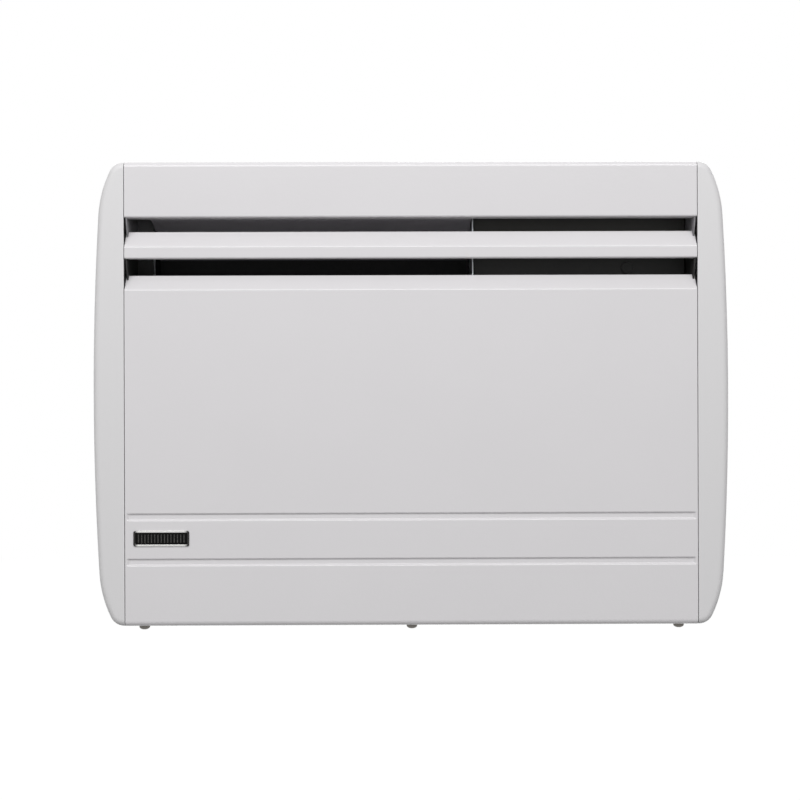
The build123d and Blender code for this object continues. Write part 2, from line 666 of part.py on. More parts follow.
with BuildPart() as badge_frame:
    with BuildSketch(Plane.XZ.offset(-FRONT)):
        with Locations((BADGE_X, BADGE_Z)):
            RectangleRounded(BADGE_WIDTH, BADGE_HEIGHT, BADGE_ROUND)
            RectangleRounded(
                BADGE_WIDTH - 2 * BADGE_RIM, BADGE_HEIGHT - 2 * BADGE_RIM, BADGE_ROUND / 2, mode=Mode.SUBTRACT
            )
    extrude(amount=BADGE_PROUD)
    chamfer(badge_frame.faces().sort_by(Axis.Y)[0].edges(), length=BADGE_RIM / 4)

with BuildPart() as badge_inset:
    inset_width = BADGE_WIDTH - 2 * BADGE_RIM - LAP
    inset_height = BADGE_HEIGHT - 2 * BADGE_RIM - LAP
    with BuildSketch(Plane.XZ.offset(-FRONT)):
        with Locations((BADGE_X, BADGE_Z)):
            RectangleRounded(inset_width, inset_height, BADGE_ROUND / 2)
    extrude(amount=BADGE_PROUD / 2)
    rib_pitch = inset_width / (BADGE_RIBS + 1)
    with BuildSketch(Plane.XZ.offset(-FRONT + BADGE_PROUD / 2)):
        with Locations((BADGE_X, BADGE_Z)):
            with GridLocations(rib_pitch, 0, BADGE_RIBS, 1):
                Rectangle(rib_pitch / 3, inset_height * 0.7)
    extrude(amount=BADGE_PROUD / 4)

with BuildPart() as base_grille:
    grille_front = FRONT + GRILLE_FRONT
    grille_back = BACK_FRONT - LAP
    grille_slots = int((2 * BODY_HALF - 2 * GRILLE_MARGIN) // GRILLE_PITCH)
    with BuildSketch(Plane.XY.offset(BOTTOM + SHEET)):
        with Locations((0, (grille_front + grille_back) / 2)):
            Rectangle(2 * BODY_HALF, grille_back - grille_front)
            with GridLocations(GRILLE_PITCH, 0, grille_slots, 1):
                SlotOverall(GRILLE_SLOT_LENGTH, GRILLE_SLOT, rotation=90, mode=Mode.SUBTRACT)
        with Locations(*[(x, (grille_back + BACK) / 2) for x in GRILLE_TAB_XS]):
            Rectangle(GRILLE_TAB, BACK - grille_back)
        with Locations(*[(x, SCREW_Y) for x in SCREW_XS]):
            Circle(SHANK_RADIUS + SHANK_CLEARANCE, mode=Mode.SUBTRACT)
    extrude(amount=SHEET)

# ---------------------------------------------------------------- wall bracket
RAIL_FRONT = -RAIL_DEPTH  # front face of a rail's lips
RAIL_MID = RAIL_FRONT + RAIL_SHEET / 2
UPPER_Z = WALL_SPACING_Z / 2
LOWER_Z = -WALL_SPACING_Z / 2
RAIL_EDGE = RAIL_WEB / 2  # middle of a rail's inner and outer flange from its centre
LATCH_FRONT = RAIL_FRONT - LATCH_AIR - LATCH_SHEET
LATCH_MID = RAIL_FRONT - LATCH_AIR - LATCH_SHEET / 2


def rail_path(centre):
    """Middle of the sheet of a wall rail: a lip, a channel with its web on the wall, and a second lip."""
    web = -RAIL_SHEET / 2
    return [
        (RAIL_MID, centre + RAIL_EDGE + RAIL_LIP),
        (RAIL_MID, centre + RAIL_EDGE),
        (web, centre + RAIL_EDGE),
        (web, centre - RAIL_EDGE),
        (RAIL_MID, centre - RAIL_EDGE),
        (RAIL_MID, centre - RAIL_EDGE - RAIL_LIP),
    ]


RAIL_BENDS = [RAIL_SHEET] * 4
LATCH_RIVETS = [
    (s * LATCH_X, z)
    for s in (-1, 1)
    for z in (UPPER_Z + RAIL_EDGE + LATCH_RIVET_OFFSET, UPPER_Z - RAIL_EDGE - LATCH_RIVET_OFFSET)
]
STRAP_END = UPPER_Z - RAIL_EDGE - RAIL_SHEET / 2  # lower face of the upper rail's inner flange
STRAP_RIVETS = [(-STRAP_X, -RIVET_OFFSET), (STRAP_X, -RIVET_OFFSET)]
EAR_HEIGHT = UPPER_Z + RAIL_EDGE + RAIL_LIP + EAR_LIFT
EAR_RIVETS = [
    (s * LATCH_X + side * EAR_RIVET_SPACING / 2, EAR_HEIGHT - EAR_RIVET_DROP)
    for s in (-1, 1)
    for side in (-1, 1)
]
HOOK_TOP = LOWER_Z + RAIL_EDGE + RAIL_LIP  # the back panel hangs at this height
HOOK_OUTER = RAIL_FRONT - HOOK_REACH

with BuildPart() as bracket_upper_rail:
    extrude(
        bent_section(Plane.YZ.offset(-RAIL_LENGTH / 2), rail_path(UPPER_Z), RAIL_BENDS, RAIL_SHEET),
        amount=RAIL_LENGTH,
    )
    drill_back([(-WALL_SPACING_X / 2, UPPER_Z), (WALL_SPACING_X / 2, UPPER_Z)], WALL_HOLE_RADIUS)
    drill_back(LATCH_RIVETS, RIVET_RADIUS)
    with BuildSketch(Plane.XY.offset(STRAP_END)):
        with Locations(*STRAP_RIVETS):
            Circle(RIVET_RADIUS)
    extrude(amount=RAIL_SHEET, mode=Mode.SUBTRACT)

with BuildPart() as bracket_lower_rail:
    extrude(
        bent_section(Plane.YZ.offset(-RAIL_LENGTH / 2), rail_path(LOWER_Z), RAIL_BENDS, RAIL_SHEET),
        amount=RAIL_LENGTH,
    )
    hook_path = [
        (RAIL_MID, HOOK_TOP - RAIL_LIP / 2),
        (RAIL_MID, HOOK_TOP - RAIL_SHEET / 2),
        (HOOK_OUTER + RAIL_SHEET / 2, HOOK_TOP - RAIL_SHEET / 2),
        (HOOK_OUTER + RAIL_SHEET / 2, HOOK_TOP + HOOK_TIP),
    ]
    for s in (-1, 1):
        plane = Plane.YZ.offset(s * HOOK_X - HOOK_WIDTH / 2)
        extrude(bent_section(plane, hook_path, [0, RAIL_SHEET], RAIL_SHEET), amount=HOOK_WIDTH)
    drill_back([(-WALL_SPACING_X / 2, LOWER_Z), (WALL_SPACING_X / 2, LOWER_Z)], WALL_HOLE_RADIUS)
    with BuildSketch(Plane.XY.offset(-STRAP_END)):
        with Locations(*STRAP_RIVETS):
            Circle(RIVET_RADIUS)
    extrude(amount=-RAIL_SHEET, mode=Mode.SUBTRACT)

STRAP_PATH = [
    (-STRAP_TAB, STRAP_END - RAIL_SHEET / 2),
    (-RAIL_SHEET / 2, STRAP_END - RAIL_SHEET / 2),
    (-RAIL_SHEET / 2, RAIL_SHEET / 2 - STRAP_END),
    (-STRAP_TAB, RAIL_SHEET / 2 - STRAP_END),
]

with BuildPart() as right_bracket_strap:
    extrude(
        bent_section(Plane.YZ.offset(STRAP_X - STRAP_WIDTH / 2), STRAP_PATH, RAIL_SHEET, RAIL_SHEET),
        amount=STRAP_WIDTH,
    )
    with BuildSketch(Plane.XY.offset(-STRAP_END)):
        with Locations(STRAP_RIVETS[1]):
            Circle(RIVET_RADIUS)
    extrude(amount=2 * STRAP_END, mode=Mode.SUBTRACT)

with BuildPart() as left_bracket_strap:
    mirror(right_bracket_strap.part, about=Plane.YZ)

with BuildPart() as strap_rivets:
    with BuildSketch(Plane.YZ.offset(STRAP_X)):
        for s in (-1, 1):
            with Locations((RIVET_RADIUS / 2 - RIVET_OFFSET, s * STRAP_END)):
                Rectangle(RIVET_RADIUS, 2 * RAIL_SHEET)
            for out in (-1, 1):
                head_z = s * STRAP_END + out * (RAIL_SHEET + RIVET_HEAD_HEIGHT / 2)
                with Locations((RIVET_HEAD_RADIUS / 2 - RIVET_OFFSET, head_z)):
                    Rectangle(RIVET_HEAD_RADIUS, RIVET_HEAD_HEIGHT)
    revolve(axis=Axis((STRAP_X, -RIVET_OFFSET, 0), (0, 0, 1)))
    mirror(about=Plane.YZ)


# ---------------------------------------------------------------- latches
def latch_plate():
    """Sliding bolt at the right: plate with two slots, a nose that goes up through the ear, a thumb tab."""
    shoulder = EAR_HEIGHT - EAR_SHOULDER
    foot = UPPER_Z - RAIL_EDGE - RAIL_LIP - LATCH_TAIL
    slot_width = 2 * (LATCH_RIVET_RADIUS + LATCH_RIVET_CLEARANCE)
    with BuildPart() as plate:
        with BuildSketch(Plane.XZ.offset(-LATCH_FRONT)):
            with Locations((LATCH_X, (shoulder + foot) / 2)):
                RectangleRounded(LATCH_WIDTH, shoulder - foot, LATCH_CORNER)
            with Locations((LATCH_X, shoulder)):
                Rectangle(NOSE_WIDTH, 2 * NOSE_HEIGHT)
            for _, z in LATCH_RIVETS[2:]:
                with Locations((LATCH_X, z + LATCH_TRAVEL / 2)):
                    SlotOverall(LATCH_TRAVEL + slot_width, slot_width, rotation=90, mode=Mode.SUBTRACT)
        extrude(amount=-LATCH_SHEET)
        nose = plate.edges().filter_by(Axis.Y).group_by(Axis.Z)[-1]
        chamfer(nose, length=NOSE_CHAMFER)
        with BuildSketch(Plane.XY.offset(foot + THUMB_TAB_RISE)):
            with Locations((LATCH_X, LATCH_FRONT - THUMB_TAB / 2 + LATCH_SHEET / 2)):
                Rectangle(LATCH_WIDTH - 2 * THUMB_TAB_INSET, THUMB_TAB + LATCH_SHEET)
        extrude(amount=LATCH_SHEET)
    return plate.part


with BuildPart() as right_latch_bolt:
    add(latch_plate())

with BuildPart() as left_latch_bolt:
    mirror(right_latch_bolt.part, about=Plane.YZ)

with BuildPart() as rivets:
    add(strap_rivets.part)
    shoulder_length = LATCH_SHEET + 2 * LATCH_AIR
    for x, z in LATCH_RIVETS:
        with BuildSketch(facing_back(x, RAIL_FRONT - shoulder_length, z)):
            Circle(LATCH_RIVET_RADIUS)
        extrude(amount=shoulder_length)
        with BuildSketch(facing_back(x, RAIL_FRONT, z)):
            Circle(RIVET_RADIUS)
        extrude(amount=RAIL_SHEET)
        with BuildSketch(facing_back(x, RAIL_FRONT + RAIL_SHEET, z)):
            Circle(RIVET_HEAD_RADIUS)
        extrude(amount=RIVET_HEAD_HEIGHT)
        with BuildSketch(facing_back(x, RAIL_FRONT - shoulder_length, z)):
            Circle(LATCH_RIVET_HEAD)
        extrude(amount=-RIVET_HEAD_HEIGHT)
    for x, z in EAR_RIVETS:
        with BuildSketch(facing_back(x, BACK_FRONT, z)):
            Circle(RIVET_RADIUS)
        extrude(amount=2 * SHEET + LAP)
        with BuildSketch(facing_back(x, BACK_FRONT, z)):
            Circle(RIVET_HEAD_RADIUS)
        extrude(amount=-RIVET_HEAD_HEIGHT)
        with BuildSketch(facing_back(x, BACK + LAP + SHEET, z)):
            Circle(RIVET_HEAD_RADIUS)
        extrude(amount=RIVET_HEAD_HEIGHT)

# ---------------------------------------------------------------- back panel
HOOK_SLOT_HEIGHT = HOOK_TIP + RAIL_SHEET + HOOK_PLAY
BACK_PANEL_TOP = TOP - HALF - HOOD_REAR_BEND - LAP  # below the bend of the hood's rear flange
BACK_PANEL_MID = (BACK_PANEL_TOP + BOTTOM) / 2

with BuildPart() as back_panel:
    with BuildSketch(Plane.XZ.offset(-BACK)):
        with Locations((0, BACK_PANEL_MID)):
            Rectangle(2 * BODY_HALF, BACK_PANEL_TOP - BOTTOM)
        with Locations(*[(s * HOOK_X, HOOK_TOP - HOOK_SLOT_HEIGHT / 2) for s in (-1, 1)]):
            Rectangle(HOOK_WIDTH + 2 * HOOK_PLAY, HOOK_SLOT_HEIGHT, mode=Mode.SUBTRACT)
        with Locations(*[(x, BOTTOM) for x in GRILLE_TAB_XS]):
            Rectangle(GRILLE_TAB + 2 * LAP, 2 * (GRILLE_TOP + LAP - BOTTOM), mode=Mode.SUBTRACT)
        with Locations((BLOCK_X, GLAND_Z)):
            Circle(GLAND_RADIUS + LAP, mode=Mode.SUBTRACT)
        with Locations((EARTH_X, EARTH_Z)):
            Circle(STUD_RADIUS + LAP, mode=Mode.SUBTRACT)
    extrude(amount=SHEET)
    drill_back(
        SHIELD_FIXINGS + GUIDE_FIXINGS + ELEMENT_FIXINGS + PARTITION_FIXINGS + PLATE_FIXINGS + HOOD_FIXINGS,
        SMALL_SHANK_RADIUS + SHANK_CLEARANCE,
    )
    drill_back(EAR_RIVETS, RIVET_RADIUS)

with BuildPart() as latch_ears:
    ear_back = BACK + LAP + HALF
    ear_path = [
        (BACK + EAR_REACH, EAR_HEIGHT + HALF),
        (ear_back, EAR_HEIGHT + HALF),
        (ear_back, EAR_HEIGHT - EAR_FLANGE),
    ]
    for s in (-1, 1):
        plane = Plane.YZ.offset(s * LATCH_X - EAR_WIDTH / 2)
        extrude(bent_section(plane, ear_path, SHEET_BEND, SHEET), amount=EAR_WIDTH)
    with BuildSketch(Plane.XY.offset(EAR_HEIGHT)):
        with Locations(*[(s * LATCH_X, LATCH_MID) for s in (-1, 1)]):
            Rectangle(NOSE_WIDTH + 2 * NOSE_CLEARANCE, LATCH_SHEET + 2 * NOSE_CLEARANCE)
    extrude(amount=SHEET, mode=Mode.SUBTRACT)
    drill_back(EAR_RIVETS, RIVET_RADIUS)

# ---------------------------------------------------------------- side plates and louver brackets
SLOT_NOTCH_FRONT = FRONT + FOLD_DEPTH + NOTCH_GAP  # the side plate stays behind the bevelled edges
PLATE_FRONT = FRONT + SHEET + PLATE_CLEARANCE
PLATE_TOP = TOP - SHEET - LAP - SHEET - PLATE_CLEARANCE
PLATE_BOTTOM = GRILLE_TOP + SHEET + PLATE_CLEARANCE
NOTCH_BOTTOM = PANEL_FOLD - PANEL_LIP
NOTCH_TOP = HOOD_BOTTOM + SHEET + PLATE_CLEARANCE

with BuildPart() as right_side_plate:
    with BuildSketch(Plane.YZ.offset(PLATE_INNER_X)):
        with BuildLine():
            FilletPolyline(
                (flange_face(SHEET), PLATE_TOP),
                (PLATE_FRONT, PLATE_TOP),
                (PLATE_FRONT, NOTCH_TOP),
                (SLOT_NOTCH_FRONT, NOTCH_TOP),
                (SLOT_NOTCH_FRONT, NOTCH_BOTTOM),
                (PLATE_FRONT, NOTCH_BOTTOM),
                (PLATE_FRONT, PLATE_BOTTOM),
                (flange_face(SHEET), PLATE_BOTTOM),
                radius=[0, HOOD_BEND + SHEET] + [NOTCH_ROUND] * 4 + [PANEL_BOTTOM_BEND, 0],
                close=True,
            )
        make_face()
        with Locations(*CAP_FIXINGS):
            Circle(SMALL_SHANK_RADIUS + SHANK_CLEARANCE, mode=Mode.SUBTRACT)
    extrude(amount=SHEET)
    for height in GROOVE_HEIGHTS:
        with BuildSketch(Plane.YZ.offset(PLATE_INNER_X)):
            with Locations((PLATE_FRONT, height)):
                Rectangle(2 * (GROOVE_DEPTH + PLATE_CLEARANCE), GROOVE_WIDTH + 2 * GROOVE_ROOM)
        extrude(amount=SHEET, mode=Mode.SUBTRACT)
    with BuildSketch(Plane.XZ.offset(-flange_face(SHEET) - SHEET)):
        with Locations((PLATE_OUTER_X - PLATE_FLANGE / 2, (PLATE_TOP + PLATE_BOTTOM) / 2)):
            Rectangle(PLATE_FLANGE, PLATE_TOP - PLATE_BOTTOM - 2 * SHEET)
    extrude(amount=SHEET)
    drill_back(PLATE_FIXINGS, SMALL_SHANK_RADIUS + SHANK_CLEARANCE)

with BuildPart() as left_side_plate:
    mirror(right_side_plate.part, about=Plane.YZ)

BRACKET_OUTER_X = PLATE_INNER_X - LAP
BRACKET_INNER_X = BRACKET_OUTER_X - BRACKET_SHEET
BRACKET_FRONT = FRONT + SHEET + BRACKET_AIR
BRACKET_REAR = -LOUVER_BRACKET_REAR


def slot_bite(top, bottom):
    """Curved cut in a louver bracket's front edge where an air slot passes it."""
    with BuildSketch(Plane.YZ.offset(BRACKET_INNER_X)) as bite:
        with BuildLine():
            Line((FRONT, top), (BRACKET_FRONT, top))
            ThreePointArc(
                (BRACKET_FRONT, top),
                (FRONT + BITE_MIDDLE, (top + bottom) / 2),
                (FRONT + BITE_DEPTH, bottom),
            )
            Polyline((FRONT + BITE_DEPTH, bottom), (FRONT, bottom), (FRONT, top))
        make_face()
    return bite.sketch


with BuildPart() as right_louver_bracket:
    with BuildSketch(Plane.YZ.offset(BRACKET_INNER_X)):
        with BuildLine():
            FilletPolyline(
                (BRACKET_REAR, LOUVER_BRACKET_BOTTOM),
                (BRACKET_REAR, LOUVER_BRACKET_TOP),
                (BRACKET_FRONT, LOUVER_BRACKET_TOP),
                (BRACKET_FRONT, LOUVER_BRACKET_BOTTOM),
                radius=[0, BRACKET_CORNER, BRACKET_CORNER, 0],
                close=True,
            )
        make_face()
    extrude(amount=BRACKET_SHEET)
    extrude(slot_bite(HOOD_BOTTOM, LOUVER_FOLD), amount=BRACKET_SHEET, mode=Mode.SUBTRACT)
    extrude(slot_bite(LOUVER_BOTTOM, PANEL_FOLD), amount=BRACKET_SHEET, mode=Mode.SUBTRACT)
    for path, bends in ((HOOD_PATH, HOOD_BENDS), (LOUVER_PATH, LOUVER_BENDS), (PLAIN_PATH, PLAIN_BENDS)):
        room = bent_section(Plane.YZ.offset(BRACKET_INNER_X), path, bends, SHEET + 2 * BRACKET_AIR)
        extrude(room, amount=BRACKET_SHEET, mode=Mode.SUBTRACT)
    with BuildSketch(Plane.XZ.offset(-BRACKET_REAR)):
        flange_mid = (LOUVER_BRACKET_TOP + LOUVER_BRACKET_BOTTOM) / 2
        with Locations((BRACKET_OUTER_X - LOUVER_BRACKET_FLANGE / 2, flange_mid)):
            Rectangle(LOUVER_BRACKET_FLANGE, LOUVER_BRACKET_TOP - LOUVER_BRACKET_BOTTOM)
    extrude(amount=-BRACKET_SHEET)

with BuildPart() as left_louver_bracket:
    mirror(right_louver_bracket.part, about=Plane.YZ)

# ---------------------------------------------------------------- heating chamber
PARTITION_FOOT = GRILLE_TOP + SHEET + PARTITION_LIFT
PARTITION_TOP = HOOD_BOTTOM + PARTITION_RISE
PARTITION_STEP = NOTCH_BOTTOM - PARTITION_DROP  # below it the partition reaches forward to the front panel
LEGS = (ELEMENT_Z - LEG_SPACING / 2, ELEMENT_Z + LEG_SPACING / 2)

with BuildPart() as partition_plate:
    with BuildSketch(Plane.YZ.offset(PARTITION_X)):
        with BuildLine():
            Polyline(
                (flange_face(PARTITION_SHEET), PARTITION_FOOT),
                (flange_face(PARTITION_SHEET), PARTITION_TOP),
                (-PARTITION_FRONT, PARTITION_TOP),
                (-PARTITION_FRONT, PARTITION_STEP),
                (PLATE_FRONT + GROOVE_DEPTH, PARTITION_STEP),
                (PLATE_FRONT + GROOVE_DEPTH, PARTITION_FOOT + PANEL_BOTTOM_BEND),
                (PLATE_FRONT + GROOVE_DEPTH + PANEL_BOTTOM_BEND, PARTITION_FOOT),
                close=True,
            )
        make_face()
        for z in LEGS:
            with Locations((ELEMENT_Y, z)):
                Circle(COLLAR_RADIUS + PARTITION_HOLE, mode=Mode.SUBTRACT)
        with Locations((CUTOUT_Y, CUTOUT_Z)):
            Circle(CUTOUT_HOLE, mode=Mode.SUBTRACT)
    extrude(amount=PARTITION_SHEET)
    with BuildSketch(Plane.XZ.offset(-BACK_FRONT + LAP)):
        flange_width = PARTITION_SHEET + PARTITION_FLANGE
        with Locations((PARTITION_X + flange_width / 2, (PARTITION_FOOT + PARTITION_TOP) / 2)):
            Rectangle(flange_width, PARTITION_TOP - PARTITION_FOOT)
    extrude(amount=PARTITION_SHEET)
    drill_back(PARTITION_FIXINGS, SMALL_SHANK_RADIUS + SHANK_CLEARANCE)

with BuildPart() as air_guide:
    guide_back = flange_face(THIN_SHEET) + THIN_SHEET / 2
    guide_path = [(guide_back, GUIDE_BOTTOM), (guide_back, GUIDE_SEAT), (-GUIDE_FRONT, GUIDE_SEAT)]
    extrude(
        bent_section(Plane.YZ.offset(GUIDE_LEFT), guide_path, [GUIDE_RADIUS], THIN_SHEET),
        amount=GUIDE_RIGHT - GUIDE_LEFT,
    )
    drill_back(GUIDE_FIXINGS, SMALL_SHANK_RADIUS + SHANK_CLEARANCE)

with BuildPart() as heat_shield:
    lying = flange_face(THIN_SHEET) + THIN_SHEET / 2
    shield_path = [
        (HEAT_SHIELD_LEFT, lying),
        (HEAT_SHIELD_LEFT + HEAT_SHIELD_FLANGE, lying),
        (HEAT_SHIELD_LEFT + HEAT_SHIELD_FLANGE + HEAT_SHIELD_SLOPE, lying - HEAT_SHIELD_DEPTH),
        (HEAT_SHIELD_RIGHT - HEAT_SHIELD_FLANGE - HEAT_SHIELD_SLOPE, lying - HEAT_SHIELD_DEPTH),
        (HEAT_SHIELD_RIGHT - HEAT_SHIELD_FLANGE, lying),
        (HEAT_SHIELD_RIGHT, lying),
    ]
    extrude(
        bent_section(Plane.XY.offset(HEAT_SHIELD_BOTTOM), shield_path, HEAT_SHIELD_BEND, THIN_SHEET),
        amount=HEAT_SHIELD_TOP - HEAT_SHIELD_BOTTOM,
    )
    drill_back(SHIELD_FIXINGS, SMALL_SHANK_RADIUS + SHANK_CLEARANCE)

with BuildPart() as compartment_shield:
    left = PARTITION_X + PARTITION_SHEET + LAP + HALF
    right = BRACKET_INNER_X - LAP - HALF
    cover_path = [
        (left, SHIELD_FLANGE - SHIELD_FRONT),
        (left, HALF - SHIELD_FRONT),
        (right, HALF - SHIELD_FRONT),
        (right, SHIELD_FLANGE - SHIELD_FRONT),
    ]
    extrude(
        bent_section(Plane.XY.offset(SHIELD_BOTTOM), cover_path, SHEET_BEND, SHEET),
        amount=SHIELD_TOP - SHIELD_BOTTOM,
    )
    with BuildSketch(Plane.XZ.offset(SHIELD_FRONT)):
        with Locations((PARTITION_X + DIMPLE_REACH, TOP - DIMPLE_DROP)):
            Circle(DIMPLE_RADIUS)
    extrude(amount=DIMPLE_HEIGHT, taper=DIMPLE_TAPER)

# ---------------------------------------------------------------- heating element
with BuildPart() as element_body:
    body_length = ELEMENT_RIGHT - ELEMENT_LEFT
    with BuildSketch(Plane.YZ.offset(ELEMENT_LEFT)):
        with Locations((ELEMENT_Y, ELEMENT_Z)):
            RectangleRounded(CORE_DEPTH, CORE_HEIGHT, CORE_ROUND)
    extrude(amount=body_length)
    fin_count = int((body_length - FIN_THICK) // FIN_PITCH)
    first_fin = ELEMENT_LEFT + (body_length - fin_count * FIN_PITCH - FIN_THICK) / 2
    with BuildSketch(*[Plane.YZ.offset(first_fin + i * FIN_PITCH) for i in range(fin_count + 1)]):
        with Locations((ELEMENT_Y, ELEMENT_Z)):
            RectangleRounded(FIN_DEPTH, FIN_HEIGHT, FIN_ROUND)
    extrude(amount=FIN_THICK)
    with BuildSketch(Plane.YZ.offset(ELEMENT_LEFT)):
        for z in LEGS:
            with Locations((ELEMENT_Y, z)):
                Circle(SHEATH_RADIUS + SHEATH_CLEARANCE)
    extrude(amount=body_length, mode=Mode.SUBTRACT)

SHEATH_END = ELEMENT_RIGHT + SHEATH_STUB
BEND_X = ELEMENT_LEFT - BEND_OVERHANG

with BuildPart() as element_sheath:
    with BuildLine():
        lower = Line((SHEATH_END, ELEMENT_Y, LEGS[0]), (BEND_X, ELEMENT_Y, LEGS[0]))
        ThreePointArc(
            (BEND_X, ELEMENT_Y, LEGS[0]),
            (BEND_X - LEG_SPACING / 2, ELEMENT_Y, ELEMENT_Z),
            (BEND_X, ELEMENT_Y, LEGS[1]),
        )
        Line((BEND_X, ELEMENT_Y, LEGS[1]), (SHEATH_END, ELEMENT_Y, LEGS[1]))
    with BuildSketch(Plane(origin=lower @ 0, z_dir=lower % 0)):
        Circle(SHEATH_RADIUS)
    sweep()

with BuildPart() as element_collars:
    with BuildSketch(Plane.YZ.offset(SHEATH_END)):
        with Locations(*[(ELEMENT_Y, z) for z in LEGS]):
            Circle(COLLAR_RADIUS)
            Circle(PIN_RADIUS, mode=Mode.SUBTRACT)
    extrude(amount=COLLAR_LENGTH)

with BuildPart() as element_pins:
    with BuildSketch(Plane.YZ.offset(SHEATH_END)):
        with Locations(*[(ELEMENT_Y, z) for z in LEGS]):
            Circle(PIN_RADIUS)
    extrude(amount=COLLAR_LENGTH + PIN_LENGTH)


def element_bracket(inner_x, outward):
    """Plate that holds one end of the element, with a flange on the back panel pointing outward."""
    low = ELEMENT_Z - ELEMENT_BRACKET_HEIGHT / 2
    reach = ELEMENT_Y - FIN_DEPTH / 2 - ELEMENT_BRACKET_REACH
    lying = BACK_FRONT - LAP - BRACKET_SHEET / 2
    plate_x = inner_x + outward * BRACKET_SHEET / 2
    path = [(plate_x, reach), (plate_x, lying), (inner_x + outward * ELEMENT_BRACKET_FLANGE, lying)]
    with BuildPart() as bracket:
        extrude(
            bent_section(Plane.XY.offset(low), path, SHEET_BEND, BRACKET_SHEET), amount=ELEMENT_BRACKET_HEIGHT
        )
        with BuildSketch(Plane.YZ.offset(inner_x - 2 * BRACKET_SHEET)):
            with Locations(*[(ELEMENT_Y, z) for z in LEGS]):
                Circle(BUSH_RADIUS + SHEATH_CLEARANCE)
        extrude(amount=4 * BRACKET_SHEET, mode=Mode.SUBTRACT)
        drill_back(ELEMENT_FIXINGS, SMALL_SHANK_RADIUS + SHANK_CLEARANCE)
    return bracket.part


with BuildPart() as left_element_bracket:
    add(element_bracket(LEFT_BRACKET_X, -1))

with BuildPart() as right_element_bracket:
    add(element_bracket(RIGHT_BRACKET_X, 1))

with BuildPart() as element_bushes:
    for inner_x, outward in ((LEFT_BRACKET_X, -1), (RIGHT_BRACKET_X, 1)):
        with BuildSketch(Plane.YZ.offset(inner_x)):
            with Locations(*[(ELEMENT_Y, z) for z in LEGS]):
                Circle(BUSH_RADIUS)
                Circle(SHEATH_RADIUS + SHEATH_CLEARANCE, mode=Mode.SUBTRACT)
        extrude(amount=outward * (BRACKET_SHEET + BUSH_PAST))
        with BuildSketch(Plane.YZ.offset(inner_x)):
            with Locations(*[(ELEMENT_Y, z) for z in LEGS]):
                Circle(BUSH_COLLAR_RADIUS)
                Circle(SHEATH_RADIUS + SHEATH_CLEARANCE, mode=Mode.SUBTRACT)
        extrude(amount=-outward * BUSH_COLLAR)

with BuildPart() as thermal_cutout:
    with BuildSketch(Plane.YZ.offset(PARTITION_X - LAP)):
        with Locations((CUTOUT_Y, CUTOUT_Z)):
            Circle(CUTOUT_RADIUS)
    extrude(amount=-CUTOUT_HEIGHT)
    rim = thermal_cutout.faces().sort_by(Axis.X)[0].edges()
    fillet(rim, radius=CUTOUT_ROUND)
    with BuildSketch(Plane.YZ.offset(PARTITION_X - LAP)):
        with Locations((CUTOUT_Y, CUTOUT_Z)):
            Circle(CUTOUT_HOLE - CUTOUT_HOLE_AIR)
    extrude(amount=PARTITION_SHEET + CUTOUT_PAST)
    with BuildSketch(Plane.YZ.offset(PARTITION_X + PARTITION_SHEET)):
        with Locations((CUTOUT_Y, CUTOUT_Z)):
            with GridLocations(0, CUTOUT_BLADE_SPACING, 1, 2):
                Rectangle(CUTOUT_BLADE_WIDTH, BLADE_THICK)
    extrude(amount=CUTOUT_BLADE_LENGTH)

# ---------------------------------------------------------------- controls
FLOOR = TOP - WELL_SINK
RIM_TOP = TOP - SHEET - LAP
FLOOR_UNDER = FLOOR - FASCIA_FLOOR
DIAL_BOTTOM = FLOOR + DIAL_AIR
PIVOT_Z = FLOOR + PIVOT_LIFT

with BuildPart() as control_fascia:
    with BuildSketch(Plane.XY.offset(RIM_TOP)):
        add(well_outline(FASCIA_RIM))
    extrude(amount=-FASCIA_RIM_THICK)
    with BuildSketch(Plane.XY.offset(RIM_TOP)):
        add(well_outline(FASCIA_WALL))
    extrude(amount=FLOOR_UNDER - RIM_TOP)
    with BuildSketch(Plane.XY.offset(RIM_TOP)):
        add(well_outline(0))
    extrude(amount=FLOOR - RIM_TOP, mode=Mode.SUBTRACT)
    with BuildSketch(Plane.XY.offset(FLOOR)):
        with Locations((DIAL_X, WELL_Y)):
            Circle(THERMOSTAT_BUSH_RADIUS + CUT_CLEARANCE)
        with Locations((SWITCH_X, WELL_Y)):
            Rectangle(SWITCH_WIDTH + 2 * CUT_CLEARANCE, SWITCH_DEPTH + 2 * CUT_CLEARANCE)
        with Locations((LAMP_X, WELL_Y)):
            Circle(LAMP_RADIUS + LAP)
    extrude(amount=-FASCIA_FLOOR, mode=Mode.SUBTRACT)

THERMOSTAT_TOP = FLOOR_UNDER - LAP
THERMOSTAT_FOOT = THERMOSTAT_TOP - THERMOSTAT_HEIGHT

